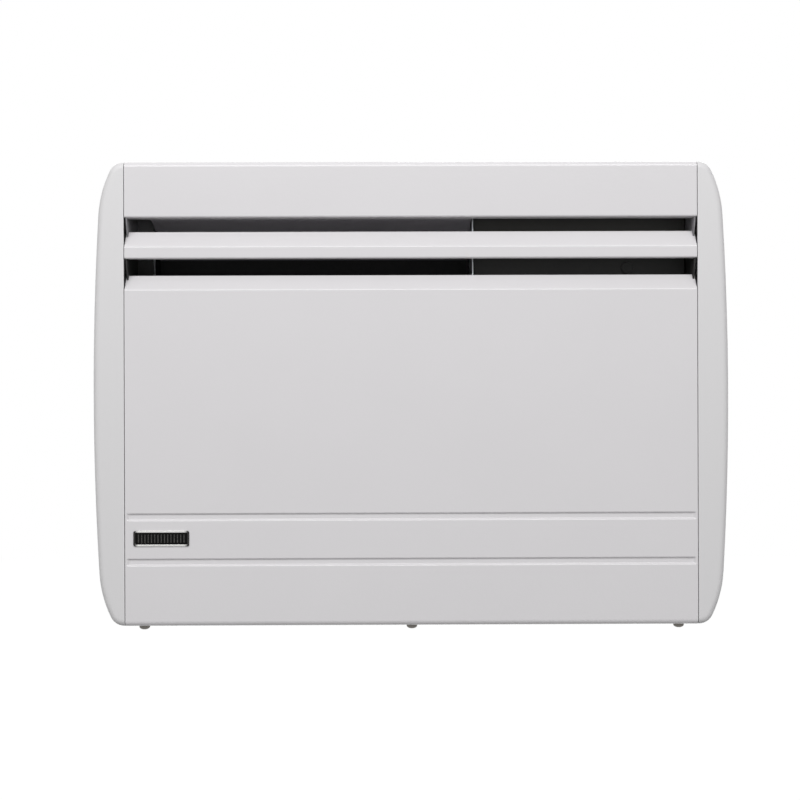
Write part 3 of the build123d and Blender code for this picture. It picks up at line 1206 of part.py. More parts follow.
with BuildPart() as thermostat_body:
    with BuildSketch(Plane.XY.offset(THERMOSTAT_FOOT)):
        with Locations((DIAL_X, WELL_Y)):
            RectangleRounded(THERMOSTAT_WIDTH, THERMOSTAT_DEPTH, THERMOSTAT_ROUND)
    extrude(amount=THERMOSTAT_HEIGHT)
    with BuildSketch(Plane.XY.offset(THERMOSTAT_TOP)):
        with Locations((DIAL_X, WELL_Y)):
            Circle(THERMOSTAT_BUSH_RADIUS)
    extrude(amount=FLOOR + BUSH_TOP - THERMOSTAT_TOP)
    with BuildSketch(Plane.XY.offset(FLOOR + BUSH_TOP)):
        with Locations((DIAL_X, WELL_Y)):
            Circle(SPINDLE_RADIUS + SPINDLE_RUNNING)
    extrude(amount=-SPINDLE_BORE, mode=Mode.SUBTRACT)
    with BuildSketch(Plane.XY.offset(THERMOSTAT_FOOT)):
        with Locations((DIAL_X, WELL_Y)):
            with GridLocations(THERMOSTAT_BLADE_SPACING, 0, 2, 1):
                Rectangle(BLADE_THICK, BLADE_WIDTH)
    extrude(amount=-BLADE_LENGTH)

with BuildPart() as thermostat_spindle:
    spindle_foot = THERMOSTAT_TOP - SPINDLE_DEPTH
    spindle_top = DIAL_BOTTOM + DIAL_HEIGHT - DIAL_SKIN - SPINDLE_END_GAP
    with BuildSketch(Plane.XY.offset(spindle_foot)):
        with Locations((DIAL_X, WELL_Y)):
            Circle(SPINDLE_RADIUS)
    extrude(amount=spindle_top - spindle_foot)

with BuildPart() as thermostat_dial:
    with BuildSketch(Plane.XY.offset(DIAL_BOTTOM)):
        with Locations((DIAL_X, WELL_Y)):
            Circle(DIAL_RADIUS)
            with PolarLocations(DIAL_RADIUS + DIAL_FLUTE_RADIUS / 3, DIAL_FLUTES):
                Circle(DIAL_FLUTE_RADIUS, mode=Mode.SUBTRACT)
    extrude(amount=DIAL_HEIGHT)
    chamfer(thermostat_dial.faces().sort_by(Axis.Z)[-1].edges(), length=DIAL_CHAMFER)
    with BuildSketch(Plane.XY.offset(DIAL_BOTTOM)):
        with Locations((DIAL_X, WELL_Y)):
            Circle(DIAL_RADIUS - DIAL_SKIN - DIAL_FLUTE_RADIUS)
            Circle(HUB_RADIUS, mode=Mode.SUBTRACT)
    extrude(amount=DIAL_HEIGHT - DIAL_SKIN, mode=Mode.SUBTRACT)
    with BuildSketch(Plane.XY.offset(DIAL_BOTTOM)):
        with Locations((DIAL_X, WELL_Y)):
            Circle(SPINDLE_RADIUS + SPINDLE_RUNNING)
    extrude(amount=DIAL_HEIGHT - DIAL_SKIN, mode=Mode.SUBTRACT)
    with BuildSketch(Plane.XY.offset(DIAL_BOTTOM + DIAL_HEIGHT)):
        with Locations((DIAL_X, WELL_Y - DIAL_MARK_Y)):
            SlotOverall(DIAL_MARK_LENGTH, DIAL_MARK_WIDTH, rotation=90)
    extrude(amount=-DIAL_MARK_DEPTH, mode=Mode.SUBTRACT)

with BuildPart() as switch_body:
    with BuildSketch(Plane.XY.offset(FLOOR)):
        with Locations((SWITCH_X, WELL_Y)):
            RectangleRounded(SWITCH_WIDTH + 2 * BEZEL_RIM, SWITCH_DEPTH + 2 * BEZEL_RIM, BEZEL_RIM)
    extrude(amount=BEZEL_THICK)
    with BuildSketch(Plane.XY.offset(FLOOR)):
        with Locations((SWITCH_X, WELL_Y)):
            Rectangle(SWITCH_WIDTH, SWITCH_DEPTH)
    extrude(amount=-SWITCH_HEIGHT - FASCIA_FLOOR)
    with BuildSketch(Plane.XY.offset(FLOOR + BEZEL_THICK)):
        with Locations((SWITCH_X, WELL_Y)):
            Rectangle(2 * (ROCKER_RADIUS + ROCKER_AIR), 2 * (ROCKER_HALF_DEPTH + ROCKER_AIR))
    extrude(amount=PIVOT_Z - ROCKER_RADIUS - ROCKER_AIR - FLOOR - BEZEL_THICK, mode=Mode.SUBTRACT)
    pin_room = ROCKER_HALF_DEPTH + ROCKER_PIN_LENGTH + CUT_CLEARANCE
    with BuildSketch(Plane.XZ.offset(-WELL_Y - pin_room)):
        with Locations((SWITCH_X, PIVOT_Z)):
            Circle(ROCKER_PIN_RADIUS + SPINDLE_RUNNING)
    extrude(amount=2 * pin_room, mode=Mode.SUBTRACT)
    with BuildSketch(Plane.XY.offset(FLOOR - SWITCH_HEIGHT - FASCIA_FLOOR)):
        with Locations((SWITCH_X, WELL_Y)):
            with GridLocations(SWITCH_BLADE_SPACING, 0, 2, 1):
                Rectangle(BLADE_THICK, BLADE_WIDTH)
    extrude(amount=-BLADE_LENGTH)

with BuildPart() as power_rocker:
    high = ROCKER_CROWN + 2 * ROCKER_RADIUS * tan(radians(ROCKER_THROW))
    pivot_end = Plane(origin=(SWITCH_X, WELL_Y + ROCKER_HALF_DEPTH, PIVOT_Z), x_dir=(1, 0, 0), z_dir=(0, -1, 0))
    with BuildSketch(pivot_end):
        with BuildLine():
            Polyline(
                (-2 * ROCKER_RADIUS, ROCKER_CROWN),
                (0, ROCKER_CROWN),
                (2 * ROCKER_RADIUS, high),
                (2 * ROCKER_RADIUS, -ROCKER_SKIRT),
                (-2 * ROCKER_RADIUS, -ROCKER_SKIRT),
                close=True,
            )
        make_face()
        Circle(ROCKER_RADIUS, mode=Mode.INTERSECT)
    extrude(amount=2 * ROCKER_HALF_DEPTH)
    with BuildSketch(pivot_end.offset(-ROCKER_PIN_LENGTH)):
        Circle(ROCKER_PIN_RADIUS)
    extrude(amount=2 * (ROCKER_HALF_DEPTH + ROCKER_PIN_LENGTH))

with BuildPart() as pilot_lamp:
    with BuildSketch(Plane.XY.offset(FLOOR)):
        with Locations((LAMP_X, WELL_Y)):
            Circle(LAMP_RADIUS)
    extrude(amount=-LAMP_HEIGHT)
    with BuildSketch(Plane.XY.offset(FLOOR)):
        with Locations((LAMP_X, WELL_Y)):
            Circle(LAMP_COLLAR)
    extrude(amount=LAMP_DOME)
    fillet(pilot_lamp.faces().sort_by(Axis.Z)[-1].edges(), radius=LAMP_ROUND)

# ---------------------------------------------------------------- room sensor
BULB_Z = GRILLE_TOP + BULB_LIFT

with BuildPart() as sensor_bulb:
    with BuildSketch(Plane.YZ.offset(BULB_X)):
        with Locations((BULB_Y, BULB_Z)):
            Circle(BULB_RADIUS)
    extrude(amount=BULB_LENGTH)
    fillet(sensor_bulb.edges(), radius=BULB_ROUND)

CAPILLARY_ROUTE = [
    (DIAL_X - 14, WELL_Y, THERMOSTAT_FOOT),
    (DIAL_X - 14, WELL_Y, THERMOSTAT_FOOT - 38),
    (BULB_X - 12, WELL_Y + 23, THERMOSTAT_FOOT - 88),
    (BULB_X - 18, WELL_Y + 23, BULB_Z + 68),
    (BULB_X - 30, BULB_Y + 8, BULB_Z + 28),
    (BULB_X - 24, BULB_Y, BULB_Z),
    (BULB_X, BULB_Y, BULB_Z),
]

with BuildPart() as sensor_capillary:
    add(round_run(CAPILLARY_ROUTE, CAPILLARY_RADIUS, CAPILLARY_BEND))

with BuildPart() as sensor_clips:
    clip_outer = BULB_RADIUS + CLIP_WALL
    clip_xs = (BULB_X + CLIP_INSET, BULB_X + BULB_LENGTH - CLIP_INSET - CLIP_WIDTH)
    with BuildSketch(*[Plane.YZ.offset(x) for x in clip_xs]):
        with Locations((BULB_Y, BULB_Z)):
            Circle(clip_outer)
        with Locations((BULB_Y, (BULB_Z + GRILLE_TOP) / 2)):
            Rectangle(clip_outer, BULB_Z - GRILLE_TOP)
        with Locations((BULB_Y, GRILLE_TOP + CLIP_WALL / 2)):
            Rectangle(CLIP_FOOT, CLIP_WALL)
        with Locations((BULB_Y, BULB_Z)):
            Circle(BULB_RADIUS + LAP, mode=Mode.SUBTRACT)
        with Locations((BULB_Y, BULB_Z + clip_outer)):
            Rectangle(CLIP_MOUTH, 2 * clip_outer, mode=Mode.SUBTRACT)
    extrude(amount=CLIP_WIDTH)

# ---------------------------------------------------------------- supply and wiring
BLOCK_WIDTH = BLOCK_POLES * BLOCK_PITCH
BLOCK_BACK = BACK_FRONT - LAP
BLOCK_FRONT = BLOCK_BACK - BLOCK_DEPTH
POLE_XS = [BLOCK_X + (i - (BLOCK_POLES - 1) / 2) * BLOCK_PITCH for i in range(BLOCK_POLES)]
PORT_Y = BLOCK_BACK - BLOCK_PORT
BLOCK_SCREWS = [(x, z) for x in POLE_XS for z in (BLOCK_Z - BLOCK_ROW, BLOCK_Z + BLOCK_ROW)]
SCREW_FACE = BLOCK_FRONT + BLOCK_SCREW_SINK  # the screws' heads lie this deep in their holes

with BuildPart() as terminal_block:
    with BuildSketch(Plane.XZ.offset(-BLOCK_BACK)):
        with Locations((BLOCK_X, BLOCK_Z)):
            Rectangle(BLOCK_WIDTH, BLOCK_HEIGHT)
    extrude(amount=BLOCK_DEPTH)
    chamfer(terminal_block.edges().filter_by(Axis.X).group_by(Axis.Y)[0], length=BLOCK_BEVEL)
    with BuildSketch(Plane.XY.offset(BLOCK_Z - BLOCK_HEIGHT / 2)):
        with Locations(*[(x, PORT_Y) for x in POLE_XS]):
            Circle(LEAD_RADIUS + WIRE_HOLE_AIR)
    extrude(amount=BLOCK_HEIGHT, mode=Mode.SUBTRACT)
    with BuildSketch(Plane.XZ.offset(-BLOCK_FRONT)):
        with Locations(*BLOCK_SCREWS):
            Circle(BLOCK_SCREW_RADIUS + LAP)
    extrude(amount=-BLOCK_SCREW_DEPTH, mode=Mode.SUBTRACT)
    with BuildSketch(Plane.XZ.offset(-BLOCK_FRONT)):
        with Locations((BLOCK_X, BLOCK_Z)):
            with GridLocations(BLOCK_PITCH, 0, BLOCK_POLES - 1, 1):
                Rectangle(BLOCK_GROOVE_WIDTH, BLOCK_HEIGHT)
    extrude(amount=-BLOCK_GROOVE_DEPTH, mode=Mode.SUBTRACT)

with BuildPart() as terminal_screws:
    with BuildSketch(Plane.XZ.offset(-SCREW_FACE)):
        with Locations(*BLOCK_SCREWS):
            Circle(BLOCK_SCREW_RADIUS)
    extrude(amount=BLOCK_SCREW_SINK - BLOCK_SCREW_DEPTH)
    with BuildSketch(Plane.XZ.offset(-SCREW_FACE)):
        with Locations(*BLOCK_SCREWS):
            Rectangle(2 * BLOCK_SCREW_RADIUS, BLADE_THICK)
    extrude(amount=-BLADE_THICK, mode=Mode.SUBTRACT)

with BuildPart() as cable_gland:
    with BuildSketch(facing_back(BLOCK_X, BACK_FRONT - GLAND_INSIDE, GLAND_Z)):
        Circle(GLAND_RADIUS)
    extrude(amount=GLAND_INSIDE + SHEET)
    with BuildSketch(facing_back(BLOCK_X, BACK, GLAND_Z)):
        Circle(GLAND_CAP_RADIUS)
    extrude(amount=GLAND_CAP_LENGTH)
    chamfer(cable_gland.faces().sort_by(Axis.Y)[-1].edges(), length=GLAND_CHAMFER)
    with BuildSketch(facing_back(BLOCK_X, BACK + GLAND_COLLAR, GLAND_Z)):
        with PolarLocations(GLAND_CAP_RADIUS + GLAND_FLUTE_OUT, GLAND_FLUTES):
            Circle(GLAND_FLUTE_RADIUS)
    extrude(amount=GLAND_CAP_LENGTH, mode=Mode.SUBTRACT)
    with BuildSketch(facing_back(BLOCK_X, BACK_FRONT - GLAND_INSIDE, GLAND_Z)):
        Circle(GLAND_BORE)
    extrude(amount=GLAND_INSIDE + SHEET + GLAND_CAP_LENGTH, mode=Mode.SUBTRACT)

with BuildPart() as gland_locknut:
    with BuildSketch(facing_back(BLOCK_X, BACK_FRONT - LAP, GLAND_Z)):
        RegularPolygon(GLAND_NUT_WIDTH / 2, 6, major_radius=False)
        Circle(GLAND_RADIUS + LAP, mode=Mode.SUBTRACT)
    extrude(amount=-GLAND_NUT_THICK)

with BuildPart() as earth_stud:
    with BuildSketch(facing_back(EARTH_X, BACK, EARTH_Z)):
        Circle(STUD_HEAD_RADIUS)
    extrude(amount=STUD_HEAD)
    with BuildSketch(facing_back(EARTH_X, BACK, EARTH_Z)):
        Circle(STUD_RADIUS)
    extrude(amount=-STUD_LENGTH)

EARTH_RING_Y = BACK_FRONT - 2 * LAP - LEAD_RADIUS  # middle of the lead between the back panel and its nut
EARTH_NUT_BACK = EARTH_RING_Y - LEAD_RADIUS - LAP

with BuildPart() as earth_nut:
    with BuildSketch(facing_back(EARTH_X, EARTH_NUT_BACK, EARTH_Z)):
        RegularPolygon(EARTH_NUT_WIDTH / 2, 6, major_radius=False)
        Circle(STUD_RADIUS + LAP, mode=Mode.SUBTRACT)
    extrude(amount=-EARTH_NUT_THICK)

PIN_TIP = SHEATH_END + COLLAR_LENGTH + PIN_LENGTH
BLOCK_TOP = BLOCK_Z + BLOCK_HEIGHT / 2
SWITCH_FOOT = FLOOR - SWITCH_HEIGHT - FASCIA_FLOOR - BLADE_LENGTH
THERMOSTAT_TIP = THERMOSTAT_FOOT - BLADE_LENGTH
CUTOUT_TIP = PARTITION_X + PARTITION_SHEET + CUTOUT_BLADE_LENGTH
SWITCH_IN = SWITCH_X + SWITCH_BLADE_SPACING / 2
SWITCH_OUT = SWITCH_X - SWITCH_BLADE_SPACING / 2
THERMOSTAT_IN = DIAL_X + THERMOSTAT_BLADE_SPACING / 2
THERMOSTAT_OUT = DIAL_X - THERMOSTAT_BLADE_SPACING / 2
CUTOUT_IN = CUTOUT_Z + CUTOUT_BLADE_SPACING / 2
CUTOUT_OUT = CUTOUT_Z - CUTOUT_BLADE_SPACING / 2

LEAD_ROUTES = {
    "live_lead": [
        (POLE_XS[2], PORT_Y, BLOCK_TOP - LEAD_GRIP),
        (POLE_XS[2], PORT_Y, BLOCK_TOP + 34),
        (SWITCH_X + 34, WELL_Y + 6, BLOCK_TOP + 74),
        (SWITCH_X + 36, WELL_Y + 4, SWITCH_FOOT - 60),
        (SWITCH_IN, WELL_Y, SWITCH_FOOT - 34),
        (SWITCH_IN, WELL_Y, SWITCH_FOOT),
    ],
    "switched_lead": [
        (SWITCH_OUT, WELL_Y, SWITCH_FOOT),
        (SWITCH_OUT, WELL_Y, SWITCH_FOOT - 28),
        ((SWITCH_X + DIAL_X) / 2, WELL_Y, SWITCH_FOOT - 44),
        (THERMOSTAT_IN, WELL_Y, SWITCH_FOOT - 36),
        (THERMOSTAT_IN, WELL_Y, THERMOSTAT_TIP),
    ],
    "thermostat_lead": [
        (THERMOSTAT_OUT, WELL_Y, THERMOSTAT_TIP),
        (THERMOSTAT_OUT, WELL_Y, THERMOSTAT_TIP - 40),
        (CUTOUT_TIP + 26, WELL_Y + 14, THERMOSTAT_TIP - 90),
        (CUTOUT_TIP + 24, WELL_Y + 14, CUTOUT_Z + 40),
        (CUTOUT_TIP + 20, CUTOUT_Y, CUTOUT_IN),
        (CUTOUT_TIP, CUTOUT_Y, CUTOUT_IN),
    ],
    "element_lead": [
        (CUTOUT_TIP, CUTOUT_Y, CUTOUT_OUT),
        (CUTOUT_TIP + 16, CUTOUT_Y, CUTOUT_OUT),
        (CUTOUT_TIP + 18, (CUTOUT_Y + ELEMENT_Y) / 2, (CUTOUT_Z + LEGS[1]) / 2),
        (PIN_TIP + 14, ELEMENT_Y, LEGS[1]),
        (PIN_TIP, ELEMENT_Y, LEGS[1]),
    ],
    "neutral_lead": [
        (PIN_TIP, ELEMENT_Y, LEGS[0]),
        (PIN_TIP + 22, ELEMENT_Y, LEGS[0]),
        (PIN_TIP + 44, ELEMENT_Y + 12, LEGS[0] + 30),
        (POLE_XS[0] - 22, PORT_Y, BLOCK_TOP + 34),
        (POLE_XS[0], PORT_Y, BLOCK_TOP + 24),
        (POLE_XS[0], PORT_Y, BLOCK_TOP - LEAD_GRIP),
    ],
    "earth_lead": [
        (POLE_XS[1], PORT_Y, BLOCK_TOP - LEAD_GRIP),
        (POLE_XS[1], PORT_Y, BLOCK_TOP + 20),
        (POLE_XS[1] - 30, PORT_Y - 14, BLOCK_TOP + 20),
        (EARTH_X + 16, PORT_Y - 18, BLOCK_Z - 14),
        (EARTH_X + 18, EARTH_RING_Y, EARTH_Z),
        (EARTH_X + STUD_RADIUS + LAP, EARTH_RING_Y, EARTH_Z),
    ],
}
leads = {}
for name, route in LEAD_ROUTES.items():
    with BuildPart() as lead:
        add(round_run(route, LEAD_RADIUS, LEAD_BEND))
    leads[name] = lead

# ---------------------------------------------------------------- fasteners
with BuildPart() as casing_screws:
    for x in SCREW_XS:
        with BuildSketch(Plane(origin=(x, SCREW_Y, BOTTOM), x_dir=(1, 0, 0), z_dir=(0, -1, 0))):
            with BuildLine():
                crown = -WASHER_THICK - HEAD_HEIGHT
                Polyline(
                    (0, SHANK_LENGTH),
                    (SHANK_RADIUS, SHANK_LENGTH),
                    (SHANK_RADIUS, 0),
                    (WASHER_RADIUS, 0),
                    (WASHER_RADIUS, -WASHER_THICK),
                    (HEAD_RADIUS, -WASHER_THICK),
                    (HEAD_RADIUS, crown + HEAD_DOME),
                )
                TangentArc((0, crown), (HEAD_RADIUS, crown + HEAD_DOME), tangent=(1, 0))
                Line((0, crown), (0, SHANK_LENGTH))
            make_face()
        revolve(axis=Axis((x, SCREW_Y, 0), (0, 0, 1)))

with BuildPart() as clip_nuts:
    with BuildSketch(Plane.XY.offset(GRILLE_TOP + LAP)):
        with Locations(*[(x, SCREW_Y) for x in SCREW_XS]):
            Rectangle(CLIP_NUT, CLIP_NUT)
    extrude(amount=SHEET)
    with BuildSketch(Plane.XY.offset(GRILLE_TOP + LAP)):
        with Locations(*[(x, SCREW_Y) for x in SCREW_XS]):
            Circle(CLIP_NUT_COLLAR)
    extrude(amount=CLIP_NUT_HEIGHT)
    with BuildSketch(Plane.XY.offset(GRILLE_TOP + LAP)):
        with Locations(*[(x, SCREW_Y) for x in SCREW_XS]):
            Circle(SHANK_RADIUS + LAP)
    extrude(amount=CLIP_NUT_HEIGHT, mode=Mode.SUBTRACT)

with BuildPart() as end_cap_screws:
    for y, z in CAP_FIXINGS:
        seat = Plane(origin=(PLATE_INNER_X - LAP, y, z), x_dir=(0, 1, 0), z_dir=(1, 0, 0))
        add(small_screw(seat, SHEET + BOSS_DEPTH / 2))
    mirror(about=Plane.YZ)

with BuildPart() as back_panel_screws:
    for x, z in PLATE_FIXINGS:
        add(small_screw(Plane(origin=(x, BACK + LAP, z), x_dir=(1, 0, 0), z_dir=(0, -1, 0)), 2 * SHEET))
    for x, z in HOOD_FIXINGS:
        seat = Plane(origin=(x, BACK + SHEET + LAP, z), x_dir=(1, 0, 0), z_dir=(0, -1, 0))
        add(small_screw(seat, 2 * SHEET))

with BuildPart() as interior_screws:
    held = [
        (SHIELD_FIXINGS + GUIDE_FIXINGS, THIN_SHEET),
        (ELEMENT_FIXINGS, BRACKET_SHEET),
        (PARTITION_FIXINGS, PARTITION_SHEET),
    ]
    for points, sheet in held:
        for x, z in points:
            add(small_screw(facing_back(x, flange_face(sheet) - LAP, z), SHEET + sheet))

# ---------------------------------------------------------------- one file for each piece
pieces = {
    "front_panel": front_panel,
    "top_hood": top_hood,
    "louver_blade": louver_blade,
    "left_end_cap": left_end_cap,
    "right_end_cap": right_end_cap,
    "badge_frame": badge_frame,
    "badge_inset": badge_inset,
    "base_grille": base_grille,
    "back_panel": back_panel,
    "left_side_plate": left_side_plate,
    "right_side_plate": right_side_plate,
    "left_louver_bracket": left_louver_bracket,
    "right_louver_bracket": right_louver_bracket,
    "casing_screws": casing_screws,
    "clip_nuts": clip_nuts,
    "end_cap_screws": end_cap_screws,
    "back_panel_screws": back_panel_screws,
    "interior_screws": interior_screws,
    "bracket_upper_rail": bracket_upper_rail,
    "bracket_lower_rail": bracket_lower_rail,
    "left_bracket_strap": left_bracket_strap,
    "right_bracket_strap": right_bracket_strap,
    "latch_ears": latch_ears,
    "left_latch_bolt": left_latch_bolt,
    "right_latch_bolt": right_latch_bolt,
    "rivets": rivets,
    "element_body": element_body,
    "element_sheath": element_sheath,
    "element_collars": element_collars,
    "element_pins": element_pins,
    "left_element_bracket": left_element_bracket,
    "right_element_bracket": right_element_bracket,
    "element_bushes": element_bushes,
    "heat_shield": heat_shield,
    "air_guide": air_guide,
    "thermal_cutout": thermal_cutout,
    "partition_plate": partition_plate,
    "compartment_shield": compartment_shield,
    "control_fascia": control_fascia,
    "thermostat_body": thermostat_body,
    "thermostat_spindle": thermostat_spindle,
    "thermostat_dial": thermostat_dial,
    "switch_body": switch_body,
    "power_rocker": power_rocker,
    "pilot_lamp": pilot_lamp,
    "sensor_bulb": sensor_bulb,
    "sensor_capillary": sensor_capillary,
    "sensor_clips": sensor_clips,
    "terminal_block": terminal_block,
    "terminal_screws": terminal_screws,
    "cable_gland": cable_gland,
    "gland_locknut": gland_locknut,
    "earth_stud": earth_stud,
    "earth_nut": earth_nut,
    **leads,
}
os.makedirs("parts", exist_ok=True)
for name, piece in pieces.items():
    piece.part.label = name
    export_step(piece.part, f"parts/{name}.step")
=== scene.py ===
import math

import bpy
from mathutils import Matrix, Vector


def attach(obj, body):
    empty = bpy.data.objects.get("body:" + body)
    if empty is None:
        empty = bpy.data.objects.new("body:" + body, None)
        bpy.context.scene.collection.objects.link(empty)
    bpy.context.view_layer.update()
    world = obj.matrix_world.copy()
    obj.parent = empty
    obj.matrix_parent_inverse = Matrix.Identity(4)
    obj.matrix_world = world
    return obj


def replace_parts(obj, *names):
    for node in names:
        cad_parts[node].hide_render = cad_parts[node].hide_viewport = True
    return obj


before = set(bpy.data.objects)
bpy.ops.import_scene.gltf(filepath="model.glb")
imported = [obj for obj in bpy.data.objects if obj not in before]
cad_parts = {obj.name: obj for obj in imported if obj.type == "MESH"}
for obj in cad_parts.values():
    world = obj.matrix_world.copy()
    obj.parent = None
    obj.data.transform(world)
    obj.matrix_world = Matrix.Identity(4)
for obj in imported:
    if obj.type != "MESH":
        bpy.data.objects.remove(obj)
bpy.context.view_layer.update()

# ------------------------------------------------------------------ camera
# The heater is seen almost straight on from a metre and a half. The lens stands a little to the
# left of the casing's middle, looks slightly to the right and is very slightly tilted.
lens = bpy.data.cameras.new("camera")
lens.sensor_width = 36.0
lens.lens = 62.7
camera = bpy.data.objects.new("camera", lens)
camera.location = (-0.0191, -1.470, -0.0064)
camera.rotation_euler = (math.radians(90), math.radians(0.18), math.radians(-0.34))
bpy.context.scene.collection.objects.link(camera)
bpy.context.scene.camera = camera
bpy.context.scene.view_settings.view_transform = "Standard"


# ------------------------------------------------------------------ light and floor
# A large soft box stands in front and above, a little to the left, as in a product studio. A
# second one lights the back of the heater. The pale floor lies well below it.
def linear(code):
    """Turns an sRGB hex colour into the linear RGBA that a shader takes."""
    parts = [int(code[i : i + 2], 16) / 255 for i in (1, 3, 5)]
    return [p / 12.92 if p <= 0.04045 else ((p + 0.055) / 1.055) ** 2.4 for p in parts] + [1.0]


def add(tree, kind, inputs=None, **settings):
    """Adds a node with its settings. inputs maps a socket to a value or to the output that feeds it."""
    node = tree.nodes.new(kind)
    for name, value in settings.items():
        setattr(node, name, value)
    for key, value in (inputs or {}).items():
        if isinstance(key, int):
            socket = node.inputs[key]
        else:
            socket = next(s for s in node.inputs if s.name == key and s.enabled)
        if isinstance(value, bpy.types.NodeSocket):
            tree.links.new(value, socket)
        else:
            socket.default_value = value
    return node


def seen_rays(tree):
    """1 for what is seen, straight, mirrored or through glass, and 0 for light that only falls."""
    rays = add(tree, "ShaderNodeLightPath").outputs
    seen = add(tree, "ShaderNodeMath", {0: rays["Is Camera Ray"], 1: rays["Is Glossy Ray"]})
    inputs = {0: seen.outputs[0], 1: rays["Is Transmission Ray"]}
    return add(tree, "ShaderNodeMath", inputs, use_clamp=True).outputs[0]


def soft_box(name, place, aim, width, height, power):
    """A rectangular area lamp that is turned towards a point."""
    lamp = bpy.data.lights.new(name, "AREA")
    lamp.shape = "RECTANGLE"
    lamp.size = width
    lamp.size_y = height
    lamp.energy = power
    box = bpy.data.objects.new(name, lamp)
    box.location = place
    box.rotation_euler = (Vector(aim) - Vector(place)).to_track_quat("-Z", "Y").to_euler()
    bpy.context.scene.collection.objects.link(box)


soft_box("soft_box_front", (-0.12, -1.8, 1.25), (0, -0.1, 0), 2.6, 1.3, 43)
soft_box("soft_box_behind", (0.6, 1.7, 0.9), (0, 0, 0), 1.2, 1.2, 9)

world = bpy.data.worlds.new("studio")
world.use_nodes = True
tree = world.node_tree
tree.nodes.clear()
ambient = add(tree, "ShaderNodeBackground", {"Color": linear("#FFFFFF"), "Strength": 0.36})
white = add(tree, "ShaderNodeBackground", {"Color": linear("#FFFFFF"), "Strength": 1.0})
mixed = add(tree, "ShaderNodeMixShader", {0: seen_rays(tree), 1: ambient.outputs[0], 2: white.outputs[0]})
add(tree, "ShaderNodeOutputWorld", {"Surface": mixed.outputs[0]})
bpy.context.scene.world = world

FLOOR = -1.2
FLOOR_REACH = 9
corners = [(x * FLOOR_REACH, y * FLOOR_REACH, FLOOR) for x, y in ((-1, -1), (1, -1), (1, 1), (-1, 1))]
floor_mesh = bpy.data.meshes.new("floor")
floor_mesh.from_pydata(corners, [], [(0, 1, 2, 3)])
floor = bpy.data.objects.new("floor", floor_mesh)
bpy.context.scene.collection.objects.link(floor)
pale_floor = bpy.data.materials.new("pale_painted_floor")
pale_floor.use_nodes = True
tree = pale_floor.node_tree
tree.nodes.clear()
glow = add(tree, "ShaderNodeMath", {0: seen_rays(tree), 1: 0.86}, operation="MULTIPLY")
matt = add(tree, "ShaderNodeBsdfDiffuse", {"Color": linear("#A8A8A8")})
lift = add(tree, "ShaderNodeEmission", {"Color": linear("#FFFFFF"), "Strength": glow.outputs[0]})
both = add(tree, "ShaderNodeAddShader", {0: matt.outputs[0], 1: lift.outputs[0]})
add(tree, "ShaderNodeOutputMaterial", {"Surface": both.outputs[0]})
floor_mesh.materials.append(pale_floor)


# ------------------------------------------------------------------ back panel and inner sheets
# The flat back, the base grille, the side plates, the partition and the element's brackets are
# pressed from hot-dip galvanised steel sheet and left unpainted.
def per_mm(size):
    """Scale of a noise or cell pattern whose features are this many millimetres across."""
    return 1000.0 / size


def finish(name, colour, **values):
    """Starts a material: its tree, its Principled shader and the place on the piece in metres."""
    made = bpy.data.materials.new(name)
    made.use_nodes = True
    tree = made.node_tree
    tree.nodes.clear()
    place = add(tree, "ShaderNodeTexCoord").outputs["Object"]
    inputs = {"Base Color": linear(colour)}
    inputs.update({key.replace("_", " "): value for key, value in values.items()})
    shader = add(tree, "ShaderNodeBsdfPrincipled", inputs)
    add(tree, "ShaderNodeOutputMaterial", {"Surface": shader.outputs[0]})
    return made, tree, shader, place


def tone(tree, shader, value, low, high):
    """Lets a 0 to 1 pattern move the base colour between two hex colours, and returns the mixture."""
    inputs = {"Factor": value, "A": linear(low), "B": linear(high)}
    mix = add(tree, "ShaderNodeMix", inputs, data_type="RGBA")
    tree.links.new(mix.outputs[2], shader.inputs["Base Color"])
    return mix.outputs[2]


def gloss(tree, shader, value, low, high):
    """Lets a 0 to 1 pattern move the roughness between two numbers."""
    span = add(tree, "ShaderNodeMapRange", {"Value": value, "To Min": low, "To Max": high})
    tree.links.new(span.outputs[0], shader.inputs["Roughness"])


def relief(tree, shader, value, depth):
    """Bumps the surface by a 0 to 1 pattern, depth being its real height in millimetres."""
    bump = add(tree, "ShaderNodeBump", {"Strength": 1.0, "Distance": depth / 1000, "Height": value})
    tree.links.new(bump.outputs[0], shader.inputs["Normal"])


def dress(material, *names):
    """Gives CAD nodes a material in place of the plain one that they came with."""
    for name in names:
        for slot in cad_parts[name].material_slots:
            slot.material = material


# Zinc crystals 9 mm across shade the sheet in facets, under a dull grey film.
def galvanised_sheet(name):
    """Galvanised steel. Its tree, shader and place are returned too, and its colour."""
    sheet, tree, shader, place = finish(name, "#B4B7BA", Metallic=1.0, Roughness=0.42)
    spangle = add(tree, "ShaderNodeTexVoronoi", {"Vector": place, "Scale": per_mm(9)})
    grey = add(tree, "ShaderNodeSeparateColor", {"Color": spangle.outputs["Color"]})
    facets = tone(tree, shader, grey.outputs[0], "#AEB1B4", "#BCBFC1")
    gloss(tree, shader, grey.outputs[1], 0.38, 0.46)
    film = add(tree, "ShaderNodeTexNoise", {"Vector": place, "Scale": per_mm(2.5), "Detail": 3.0})
    relief(tree, shader, film.outputs[0], 0.03)
    return sheet, tree, shader, place, facets


galvanised = galvanised_sheet("galvanised_steel_sheet")[0]
dress(
    galvanised,
    "base_grille",
    "left_side_plate",
    "right_side_plate",
    "partition_plate",
    "left_element_bracket",
    "right_element_bracket",
)

